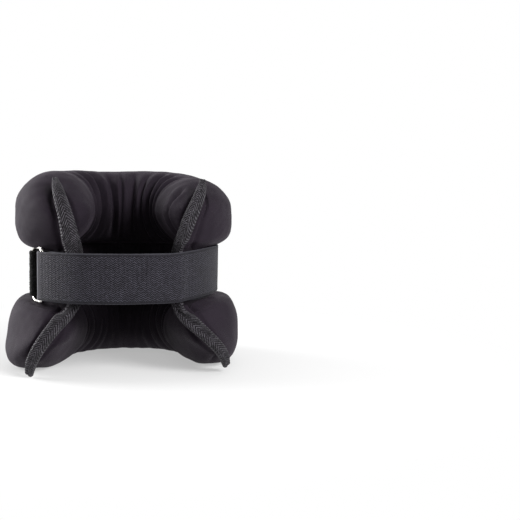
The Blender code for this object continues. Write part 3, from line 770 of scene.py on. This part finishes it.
# Share of the seam from bottom to top, then the tape's half width, half thickness, place along the fin and lean in
# degrees. Both are narrow and set back where the strap passes over them
BINDING_SHAPE = {
    1: [
        (0.00, 0.0024, 0.0014, 0.0034, 20), (0.03, 0.0031, 0.0022, 0.0038, 22), (0.12, 0.0037, 0.0029, 0.0041, 22),
        (0.28, 0.0044, 0.0029, 0.0043, 22), (0.36, 0.0056, 0.0024, 0.0042, 26), (0.43, 0.0040, 0.0014, 0.0022, 4),
        (0.57, 0.0040, 0.0014, 0.0022, 4), (0.64, 0.0062, 0.0020, 0.0043, 28), (0.76, 0.0048, 0.0023, 0.0043, 10),
        (0.90, 0.0037, 0.0023, 0.0041, -2), (0.97, 0.0026, 0.0019, 0.0038, -4), (1.00, 0.0012, 0.0009, 0.0034, 0),
    ],
}
# The right one lies flatter, because the strap goes round over it
BINDING_SHAPE[-1] = [
    (0.00, 0.0024, 0.0014, 0.0034, 20), (0.03, 0.0031, 0.0022, 0.0038, 22), (0.12, 0.0037, 0.0029, 0.0041, 22),
    (0.28, 0.0044, 0.0029, 0.0042, 12), (0.36, 0.0050, 0.0024, 0.0040, 2), (0.43, 0.0040, 0.0014, 0.0022, -4),
    (0.57, 0.0040, 0.0014, 0.0022, -6), (0.64, 0.0050, 0.0020, 0.0040, -8), (0.76, 0.0046, 0.0023, 0.0042, -8),
    (0.90, 0.0037, 0.0023, 0.0041, -8), (0.97, 0.0026, 0.0019, 0.0038, -4), (1.00, 0.0012, 0.0009, 0.0034, 0),
]


def binding_sections(side):
    point, fin, outward, along = seam_line(side)
    share = along / along[-1]
    table = np.array(BINDING_SHAPE[side])
    width, thick, place, lean = (np.interp(share, table[:, 0], table[:, k]) for k in range(1, 5))
    for part in (width, thick, place, lean):
        part[:] = np.convolve(np.pad(part, 10, mode="edge"), np.ones(21) / 21, mode="valid")
    lean = np.radians(lean)[:, None]
    leaned_fin = fin * np.cos(lean) + outward * np.sin(lean)
    leaned_out = outward * np.cos(lean) - fin * np.sin(lean)
    return point, leaned_fin, leaned_out, along, width, thick, place


def build_binding(side):
    point, fin, outward, along, width, thick, place = binding_sections(side)
    around = np.linspace(0, 2 * np.pi, 44, endpoint=False)
    power = 0.62
    b = np.sign(np.cos(around)) * np.abs(np.cos(around)) ** power
    f = np.sign(np.sin(around)) * np.abs(np.sin(around)) ** power
    across = b[None, :] * width[:, None]
    ribs = -np.cos((along[:, None] + np.abs(across) * 1.1) * 2 * np.pi / 0.0021)
    end = smoothstep(np.minimum(along, along[-1] - along), 0, 0.002)[:, None]
    relief = 0.00020 * ribs * end + 0.00018 * wobble(21 + side, along[:, None] * 900, across * 700)
    depth = place[:, None] + f[None, :] * (thick[:, None] + relief)
    # The middle of the outer face is hollowed a little, where the two edges of the tape meet the seam
    depth -= 0.0004 * (f[None, :] > 0.3) * np.exp(-(across / 0.0008) ** 2)
    grid = point[:, None] + fin[:, None] * depth[..., None] + outward[:, None] * across[..., None]
    surf = np.zeros(grid.shape)
    surf[..., 0] = along[:, None]
    surf[..., 1] = across
    if side < 0:
        grid[..., 0] *= -1
    name = "left" if side > 0 else "right"
    return grid_object(
        f"{name}_binding", grid, surf, BINDING_LOOK, closed_round=True, caps=(True, True), flip=side > 0
    )


def stitch_object(name, centres, runs, normals, length, radius, look, bulge=0.35):
    """Separate stitches, each a short arched thread that dips into the cloth at both ends."""
    along = np.linspace(-1, 1, 7)
    turn = np.linspace(0, 2 * np.pi, 6, endpoint=False)
    size = radius * np.sqrt(np.maximum(1 - np.abs(along) ** 3, 0.05))
    lift = (1 - along**2) * radius * bulge * 2 - radius * 0.6
    points, faces, surfs = [], [], []
    for centre, run, normal in zip(centres, runs, normals):
        side = np.cross(run, normal)
        base = len(points) * len(along) * len(turn)
        ring = (
            centre + run * (along[:, None, None] * length / 2) + normal * lift[:, None, None]
            + side * (size[:, None] * np.cos(turn))[..., None] + normal * (size[:, None] * np.sin(turn))[..., None]
        )
        points.append(ring.reshape(-1, 3))
        surf = np.zeros(ring.shape)
        surf[..., 0] = (along * length / 2)[:, None]
        surf[..., 1] = turn * radius
        surfs.append(surf.reshape(-1, 3))
        index = base + np.arange(len(along) * len(turn)).reshape(len(along), len(turn))
        index = np.hstack([index, index[:, :1]])
        faces += np.stack([index[:-1, :-1], index[:-1, 1:], index[1:, 1:], index[1:, :-1]], -1).reshape(-1, 4).tolist()
        faces += [index[0, :-1][::-1].tolist(), index[-1, :-1].tolist()]
    flat = np.concatenate(points)
    flat[:, 1] += LEG_Y
    mesh = bpy.data.meshes.new(name)
    mesh.from_pydata(flat.tolist(), [], faces)
    mesh.attributes.new("surf", "FLOAT_VECTOR", "POINT").data.foreach_set(
        "vector", np.concatenate(surfs).astype(np.float32).ravel()
    )
    mesh.attributes.new("rest", "FLOAT_VECTOR", "POINT").data.foreach_set("vector", flat.astype(np.float32).ravel())
    mesh.shade_smooth()
    mesh.materials.append(look)
    made = bpy.data.objects.new(name, mesh)
    bpy.context.scene.collection.objects.link(made)
    return made


def build_binding_stitches(side):
    """Two rows of zigzag stitches, one along each edge of the tape."""
    point, fin, outward, along, width, thick, place = binding_sections(side)
    centres, runs, normals = [], [], []
    step = 4
    for row in (1, -1):
        for i in range(12, len(along) - 12, step):
            zig = 0.45 if (i // step) % 2 else -0.45
            run = normalised(point[i + 2] - point[i - 2])
            lean = normalised(run + outward[i] * (zig * 0.55))
            edge = width[i] * 0.66 * row
            centres.append(point[i] + fin[i] * (place[i] + thick[i] * 0.93) + outward[i] * edge)
            runs.append(lean)
            normals.append(normalised(fin[i] + outward[i] * (0.35 * row)))
    centres, runs, normals = np.array(centres), np.array(runs), np.array(normals)
    if side < 0:
        for part in (centres, runs, normals):
            part[:, 0] *= -1
    name = "left" if side > 0 else "right"
    return stitch_object(f"{name}_binding_stitches", centres, runs, normals, 0.0017, 0.00017, THREAD_LOOK)


for side, half in ((1, "left"), (-1, "right")):
    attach(finish_piece(build_binding(side), [f"{half}_end_binding"]), f"{half}_half")
    stitches = finish_piece(build_binding_stitches(side), [f"{half}_binding_stitching"])
    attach(stitches, f"{half}_half")

# The strap


def strap_profile(width, thickness, faces):
    """(across, out) points round a strap's section, with rounded edges and slightly raised selvedges."""
    half, t = width / 2, thickness / 2
    flat = np.linspace(-half + t, half - t, faces)
    arc = np.linspace(-90, 90, 7)[1:-1]
    raised = 0.00012 * np.exp(-((np.abs(flat) - half + 0.0012) / 0.0007) ** 2)
    outer = np.stack([flat, t + raised], -1)
    top = np.stack([half - t + t * np.cos(np.radians(arc[::-1])), t * np.sin(np.radians(arc[::-1]))], -1)
    inner = np.stack([flat[::-1], -t - raised[::-1]], -1)
    bottom = np.stack([-half + t - t * np.cos(np.radians(arc)), t * np.sin(np.radians(arc))], -1)
    return np.concatenate([outer, top, inner, bottom])


def ribbon_grid(path, width=0.030, thickness=0.0015, z=None, wave=0.00025, seed=1, faces=26):
    """Points and cloth places of a strap that stands on edge along a path in plan."""
    z = np.full(len(path), STRAP_Z) if z is None else z
    path = np.asarray(path, float)[:, :2]
    tangent = normalised(np.gradient(path, axis=0))
    out = np.stack([tangent[:, 1], -tangent[:, 0]], -1)
    profile = strap_profile(width, thickness, faces)
    u = lengths_along(path)
    ripple = wave * wobble(seed, u[:, None] * 95, profile[None, :, 0] * 75)
    offset = profile[None, :, 1] + ripple
    grid = np.zeros((len(path), len(profile), 3))
    grid[..., :2] = path[:, None] + out[:, None] * offset[..., None]
    edge = 0.00018 * wobble(seed + 4, u * 160)
    grid[..., 2] = z[:, None] + profile[None, :, 0] + edge[:, None] * np.sign(profile[None, :, 0])
    surf = np.zeros(grid.shape)
    surf[..., 0] = u[:, None]
    surf[..., 1] = profile[None, :, 0]
    return grid, surf


def outward_normals(grid):
    """Normals of a closed section's grid, turned away from the middle of each section."""
    normal = grid_normals(grid, True)
    if ((grid - grid.mean(axis=1, keepdims=True)) * normal).sum() < 0:
        normal = -normal
    return normal


STRAP_INNER_RADIUS = 0.05605
STRAP_OUTER_RADIUS = 0.05945
SHOULDER_ANGLE = 140.5
STRAP_BASE_END_ANGLE = 119
TAIL_ANGLE = 118
TIP_ANGLE_START = 76
STRAP_END_ANGLE = 35
FOLD_RADIUS = 0.0027


def local(point):
    """A point of the frame, measured from the leg's axis."""
    return np.array([point[0], point[1] - LEG_Y, point[2]])


def strap_middle():
    shoulder = (STRAP_INNER_RADIUS + STRAP_OUTER_RADIUS) / 2
    points = [
        local(STRAP_BAR)[:2],
        (-0.0420, -0.0435),
        (-0.0280, -0.0524),
        (-0.0080, -0.0552),
        (0.0140, -0.0546),
        polar(0.0594, -150)[:2],
        polar(0.0588, -144.5)[:2],
        polar(shoulder, -SHOULDER_ANGLE)[:2],
        polar(shoulder, 4 - SHOULDER_ANGLE)[:2],
    ]
    per_span = 24
    return smooth_path(points, per_span)[:-per_span]


def layer(path, side):
    """One of the strap's two layers beside its middle path."""
    tangent = normalised(np.gradient(path, axis=0))
    t = np.linspace(0, 1, len(path))
    near_ring = FOLD_RADIUS * np.maximum(0, 1 - t * 2.2) ** 2
    near_shoulder = 0.0017 * np.maximum(0, 2 * t - 1) ** 2
    offset = np.maximum(np.maximum(near_ring, near_shoulder), 0.0011)
    kernel = np.ones(15) / 15
    offset = np.convolve(np.pad(offset, 7, mode="edge"), kernel, mode="valid")
    return path + np.stack([tangent[:, 1], -tangent[:, 0]], -1) * (side * offset)[:, None]


def strap_route():
    """The whole strap in plan, from its sewn end inside to its tip at the back."""
    middle = strap_middle()
    bar = local(STRAP_BAR)[:2]
    keep = np.linalg.norm(middle - bar, axis=1) > 0.0045
    outer, inner = layer(middle[keep], 1), layer(middle[keep], -1)
    base = polar(STRAP_INNER_RADIUS, np.linspace(-STRAP_BASE_END_ANGLE, -SHOULDER_ANGLE, 30))[:, :2]
    first = math.atan2(*(inner[0] - bar)[::-1])
    last = math.atan2(*(outer[0] - bar)[::-1])
    while last < first:
        last += 2 * math.pi
    arc = np.linspace(first, last, 42)[1:-1]
    radii = [np.linalg.norm(inner[0] - bar), FOLD_RADIUS, FOLD_RADIUS, np.linalg.norm(outer[0] - bar)]
    radius = np.interp(arc, [first, first + 0.7, last - 0.7, last], radii)
    fold = bar + np.stack([np.cos(arc), np.sin(arc)], -1) * radius[:, None]
    wrap = polar(STRAP_OUTER_RADIUS, -np.arange(SHOULDER_ANGLE - 0.5, STRAP_END_ANGLE - 0.01, -0.5))[:, :2]
    route = np.concatenate([base[:-1], inner[::-1], fold, outer[:-1], wrap])
    keep = np.concatenate([[True], np.linalg.norm(np.diff(route, axis=0), axis=1) > 1e-5])
    route = resampled(route[keep], 0.0006)
    for _ in range(6):
        route[1:-1] = (route[:-2] + 2 * route[1:-1] + route[2:]) / 4
    return route


def strap_pieces():
    """The route, its lengths, and where it is cut into pieces that each meet the next at a shared section."""
    route = strap_route()
    u = lengths_along(route)
    angle = np.degrees(np.arctan2(-route[:, 0], route[:, 1]))
    bar = local(STRAP_BAR)[:2]
    turn_point = int(np.argmin(np.linalg.norm(route - bar, axis=1) + (route[:, 0] > -0.04)))
    after = np.arange(len(route)) > turn_point
    ring_reach = 0.016
    far = np.linalg.norm(route - bar, axis=1) > ring_reach
    cut_in = int(np.where(~after & ~far)[0][0])
    cut_out = int(np.where(after & far)[0][0])
    cut_shoulder = int(np.where(after & (angle < 0) & (angle > -SHOULDER_ANGLE + 3))[0][0])
    cut_tip = int(np.where(after & (angle < 0) & (angle > -(TIP_ANGLE_START + TAIL_ANGLE) / 2))[0][0])
    return route, u, (cut_in, cut_out, cut_shoulder, cut_tip)


ROUTE, ROUTE_U, (CUT_IN, CUT_OUT, CUT_SHOULDER, CUT_TIP) = strap_pieces()


# The strap climbs a little where it goes round the right side
RISE = 0.0022 * smoothstep(ROUTE[:, 0], 0.020, 0.056) * (np.arange(len(ROUTE)) > CUT_OUT)
ROUTE_GRID, ROUTE_SURF = ribbon_grid(ROUTE, z=STRAP_Z + RISE, seed=31)
ROUTE_NORMALS = outward_normals(ROUTE_GRID)
# A pale band is painted across the strap just past its fold round the ring: a painted highlight on the fold
FOLD_POINT = int(np.argmin(ROUTE[:, 0]))
ROUTE_SURF[..., 2] = np.exp(-(((ROUTE_U - ROUTE_U[FOLD_POINT] - 0.0013) / 0.0006) ** 2))[:, None]


def route_piece(name, first, last, caps=(False, False)):
    """A stretch of the strap, from one section to another. Neighbours share the section between them."""
    part = slice(first, last + 1)
    grid, surf, normals = ROUTE_GRID[part], ROUTE_SURF[part], ROUTE_NORMALS[part]
    shown = None if any(caps) else normals
    return grid_object(name, grid, surf, WEBBING_LOOK, closed_round=True, caps=caps, flip=True, normals=shown)


strap_inner = route_piece("strap_inner_run", 0, CUT_IN, (True, False))
finish_piece(strap_inner, ["strap_front_inner", "strap_base"])
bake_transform(strap_inner)
strap_fold = finish_piece(route_piece("strap_ring_fold", CUT_IN, CUT_OUT), ["strap_fold"])
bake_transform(strap_fold)
strap_outer = finish_piece(route_piece("strap_outer_run", CUT_OUT, CUT_SHOULDER), ["strap_front_outer"])
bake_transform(strap_outer)


def frame_point(radius, angle):
    """A point at the strap's height, in the row frame."""
    x, y, _ = polar(radius, angle)
    return (float(x), float(y + LEG_Y), STRAP_Z)


# Points 6 degrees before and 9 degrees after each peeling end's hinge are worked out here and below, and nothing uses
# them
strap_side = route_piece("strap_side_run", CUT_SHOULDER, CUT_TIP)
finish_piece(strap_side, ["strap_shoulder", "strap_tail"])
frame_point(STRAP_OUTER_RADIUS, -TAIL_ANGLE - 6)
frame_point(STRAP_OUTER_RADIUS, -TAIL_ANGLE + 9)
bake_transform(strap_side)
strap_end = route_piece("strap_end_run", CUT_TIP, len(ROUTE) - 1, (False, True))
finish_piece(strap_end, ["strap_tip"])
frame_point(STRAP_OUTER_RADIUS, -TIP_ANGLE_START - 6)
frame_point(STRAP_OUTER_RADIUS, -TIP_ANGLE_START + 9)
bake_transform(strap_end)


def box_stitches(name, radius, first, last, half_height, cross):
    """A rectangle of stitches, with a cross in it or not, sewn through a band at this radius."""
    low, high = -half_height, half_height
    corners = [(first, low), (last, low), (last, high), (first, high), (first, low)]
    lines = list(zip(corners, corners[1:])) + [(corners[0], corners[2]), (corners[1], corners[3])] * cross
    centres, runs, normals = [], [], []
    pitch = 0.0026
    for (a0, z0), (a1, z1) in lines:
        size = math.hypot(math.radians(a1 - a0) * radius, z1 - z0)
        count = int(size / pitch)
        for i in range(count):
            t = (i + 0.5) / count
            ahead = (i + 0.6) / count
            here = polar(radius, a0 + (a1 - a0) * t, STRAP_Z + z0 + (z1 - z0) * t)
            there = polar(radius, a0 + (a1 - a0) * ahead, STRAP_Z + z0 + (z1 - z0) * ahead)
            centres.append(here)
            runs.append(normalised(there - here))
            normals.append(unit_at(np.float64(a0 + (a1 - a0) * t)))
    return stitch_object(name, np.array(centres), np.array(runs), np.array(normals), 0.0020, 0.00024, THREAD_LOOK)


# How far outside the middle of the webbing the threads lie
ON_WEBBING = 0.00085
base_stitches = box_stitches(
    "strap_base_stitches", STRAP_INNER_RADIUS + ON_WEBBING, -STRAP_BASE_END_ANGLE - 3, -SHOULDER_ANGLE + 6, 0.011, True
)
finish_piece(base_stitches, ["strap_base_stitching"])
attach(base_stitches, "right_half")
tip_stitches = box_stitches(
    "hook_patch_stitches", STRAP_OUTER_RADIUS + ON_WEBBING, -STRAP_END_ANGLE - 2.5, -TIP_ANGLE_START + 8, 0.0127, False
)
finish_piece(tip_stitches, ["hook_patch_stitching"])
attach(tip_stitches, "strap_tip")

# The loop tape round the waist, and the tab that holds the ring


def fuzzy_band(name, path, width, thickness, seed):
    """A band of loop pile, with its surface and its edges broken up by the pile."""
    grid, surf = ribbon_grid(path, width, thickness, wave=0.00015, seed=seed, faces=60)
    rough = np.random.default_rng(seed).normal(0, 0.00012, grid.shape[:2])
    grid = grid + outward_normals(grid) * rough[..., None]
    return grid_object(name, grid, surf, LOOP_LOOK, closed_round=True, caps=(True, True), flip=True)


TAPE_RADIUS = 0.0562
TAB_INNER_RADIUS, TAB_OUTER_RADIUS = 0.0560, 0.05775
TAB_END_ANGLE = 72
PILE_WIDTH = 0.028
tape_path = polar(TAPE_RADIUS, np.arange(-STRAP_BASE_END_ANGLE + 0.6, TAB_END_ANGLE - 0.4, 0.5))[:, :2]
loop_tape = fuzzy_band("loop_tape", tape_path, PILE_WIDTH, 0.0018, 41)
finish_piece(loop_tape, ["left_loop_tape", "right_loop_tape"])
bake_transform(loop_tape)


def tab_path():
    """The tab in plan: from the loop tape round the ring's bar and back outside it."""
    bar = local(TAB_BAR)[:2]
    angles = np.array([TAB_END_ANGLE, 76, 80, 84, 88, 92, 97])
    loop = 0.00225
    turn = np.linspace(0, np.pi, 11)
    arc = bar + np.stack([loop * np.cos(turn), -loop * np.sin(turn)], -1)
    path = np.concatenate([polar(TAB_INNER_RADIUS, angles)[:, :2], arc, polar(TAB_OUTER_RADIUS, angles[::-1])[:, :2]])
    path = resampled(path, 0.0005)
    for _ in range(4):
        path[1:-1] = (path[:-2] + 2 * path[1:-1] + path[2:]) / 4
    return path


ring_tab = fuzzy_band("ring_holder_tab", tab_path(), PILE_WIDTH, 0.0013, 43)
finish_piece(ring_tab, ["ring_tab"])
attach(ring_tab, "left_half")
tab_stitches = box_stitches("ring_tab_stitches", TAB_OUTER_RADIUS + 0.0009, TAB_END_ANGLE + 1.5, 87, 0.0115, True)
finish_piece(tab_stitches, ["ring_tab_stitching"])
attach(tab_stitches, "left_half")

# The metal ring


def build_ring():
    a, b = local(TAB_BAR), local(STRAP_BAR)
    half_height = (RING_HIGH.z - RING_LOW.z) / 2 - WIRE
    across = (b - a) / 2
    centre = (a + b) / 2
    width = np.linalg.norm(across)
    across = across / width
    corner = 0.0034
    path = []
    for sx, sz, start in ((1, 1, 0), (-1, 1, 90), (-1, -1, 180), (1, -1, 270)):
        for turn in np.radians(np.linspace(start, start + 90, 13)):
            x = sx * (width - corner) + corner * math.cos(turn)
            z = sz * (half_height - corner) + corner * math.sin(turn)
            path.append(centre + across * x + np.array([0, 0, z]))
    path = resampled(np.array([*path, path[0]]), 0.0004)[:-1]
    normal = np.cross(across, [0, 0, 1])
    turn = np.linspace(0, 2 * np.pi, 18, endpoint=False)
    tangent = normalised(np.roll(path, -1, axis=0) - np.roll(path, 1, axis=0))
    side = np.cross(tangent, normal)
    across_wire, out_of_plane = WIRE * np.cos(turn), WIRE * np.sin(turn)
    grid = path[:, None] + side[:, None] * across_wire[None, :, None] + normal * out_of_plane[None, :, None]
    grid = np.concatenate([grid, grid[:1]])
    surf = np.zeros(grid.shape)
    surf[..., 0] = lengths_along(np.vstack([path, path[:1]]))[:, None]
    surf[..., 1] = turn[None, :] * WIRE
    made = grid_object("nickel_ring", grid, surf, METAL_LOOK, closed_round=True)
    return made


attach(finish_piece(build_ring(), ["strap_ring"]), "ring")

# The hook patch stays as it is in the frame, with its own look
hook_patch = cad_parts["hook_patch"]
hook_patch.data.materials.clear()
hook_patch.data.materials.append(hook_field("hook_patch_look"))

# What is sealed inside the rolls
POUCH_LOOK = inner_cloth("pouch_cloth", (0.07, 0.07, 0.08), (0.13, 0.13, 0.14), 900)
SAND_LOOK = inner_cloth("iron_grains", (0.05, 0.045, 0.04), (0.25, 0.23, 0.21), 1600, 0.4)
for side, half in ((1, "left"), (-1, "right")):
    for level in ROLLS:
        for part, depth, look, slot in (
            ("pouch", 0.0048, POUCH_LOOK, "lining"), ("fill", 0.0062, SAND_LOOK, "iron_sand"),
        ):
            cad_name = f"{half}_{level}_sand_{part}"
            bag = finish_piece(build_bag(level, side, f"{cad_name}_bag", depth, look), [cad_name])
            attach(bag, f"{half}_half")

# Floor, light and camera


def plain(name, colour, roughness):
    made, _, shader = tree_of(name)
    shader.inputs["Base Color"].default_value = (*colour, 1)
    shader.inputs["Roughness"].default_value = roughness
    return made


floor_mesh = bpy.data.meshes.new("floor")
floor_mesh.from_pydata([(-9, -9, 0), (9, -9, 0), (9, 9, 0), (-9, 9, 0)], [], [(0, 1, 2, 3)])
paper = plain("floor_paper", (0.66, 0.66, 0.66), 0.9)
# Away from the object the paper is lit to an even white
paper_tree = paper.node_tree
away = node(
    paper_tree, "ShaderNodeVectorMath", {0: node(paper_tree, "ShaderNodeTexCoord").outputs["Object"]}, operation="LENGTH"
).outputs["Value"]
away = node(
    paper_tree, "ShaderNodeMapRange", {0: away, 1: 0.09, 2: 0.27, 3: 0.42, 4: 1.0}, interpolation_type="SMOOTHSTEP"
).outputs[0]
lit = node(paper_tree, "ShaderNodeEmission", {0: (1, 1, 1, 1), 1: 1.0}).outputs[0]
blended = node(paper_tree, "ShaderNodeMixShader", {0: away, 1: paper_tree.nodes["Principled BSDF"].outputs[0], 2: lit})
paper_tree.links.new(blended.outputs[0], paper_tree.nodes["Material Output"].inputs[0])
floor_mesh.materials.append(paper)
floor = bpy.data.objects.new("floor", floor_mesh)
bpy.context.scene.collection.objects.link(floor)

world = bpy.data.worlds.new("studio")
bpy.context.scene.world = world
world.use_nodes = True
background = world.node_tree.nodes["Background"]
facing = node(world.node_tree, "ShaderNodeTexCoord").outputs["Generated"]
_, facing_y, facing_z = xyz(world.node_tree, facing)
sky = world.node_tree


def ranged(value, low, high, a, b):
    values = {0: value, 1: low, 2: high, 3: a, 4: b}
    return node(sky, "ShaderNodeMapRange", values, interpolation_type="SMOOTHSTEP").outputs[0]


# A bright backdrop all round at eye level and high up behind the object, a dim room in front, a panel overhead
behind = ranged(facing_y, -0.1, 0.5, 0.06, 1.0)
backdrop = ranged(facing_z, 0.12, 0.34, 1.0, 0.0)
overhead = ranged(facing_z, 0.55, 0.85, 0.0, 0.8)
bright = maths(sky, "MAXIMUM", maths(sky, "MAXIMUM", behind, overhead), backdrop)
world.node_tree.links.new(bright, background.inputs[1])
background.inputs[0].default_value = (1, 1, 1, 1)


def softbox(name, place, target, size, power):
    data = bpy.data.lights.new(name, "AREA")
    data.shape = "RECTANGLE"
    data.size, data.size_y = size
    data.energy = power
    made = bpy.data.objects.new(name, data)
    made.location = place
    made.rotation_euler = (Vector(target) - Vector(place)).to_track_quat("-Z", "Y").to_euler()
    bpy.context.scene.collection.objects.link(made)


softbox("softbox_left", (-1.28, 0.48, 0.48), (0, 0, 0.06), (0.8, 1.0), 35)
softbox("softbox_right", (0.82, -1.00, 0.74), (0, 0, 0.06), (0.6, 0.7), 32)

CAMERA_AZIMUTH = math.radians(-1.0)
CAMERA_DISTANCE = 0.577
CAMERA_HEIGHT = 0.119
AIM_RIGHT = math.radians(8.76)
AIM_DOWN = math.radians(5.1)
ROLL = math.radians(0.79)
camera_data = bpy.data.cameras.new("camera")
camera_data.lens = 60.66
camera_data.sensor_width = 36.0
camera = bpy.data.objects.new("camera", camera_data)
bpy.context.scene.collection.objects.link(camera)
camera.location = (
    math.sin(CAMERA_AZIMUTH) * CAMERA_DISTANCE,
    LEG_Y - math.cos(CAMERA_AZIMUTH) * CAMERA_DISTANCE,
    CAMERA_HEIGHT,
)
camera.rotation_euler = (
    Matrix.Rotation(CAMERA_AZIMUTH - AIM_RIGHT, 3, "Z")
    @ Matrix.Rotation(math.radians(90) - AIM_DOWN, 3, "X")
    @ Matrix.Rotation(ROLL, 3, "Z")
).to_euler()
bpy.context.scene.camera = camera
bpy.context.scene.view_settings.view_transform = "Standard"
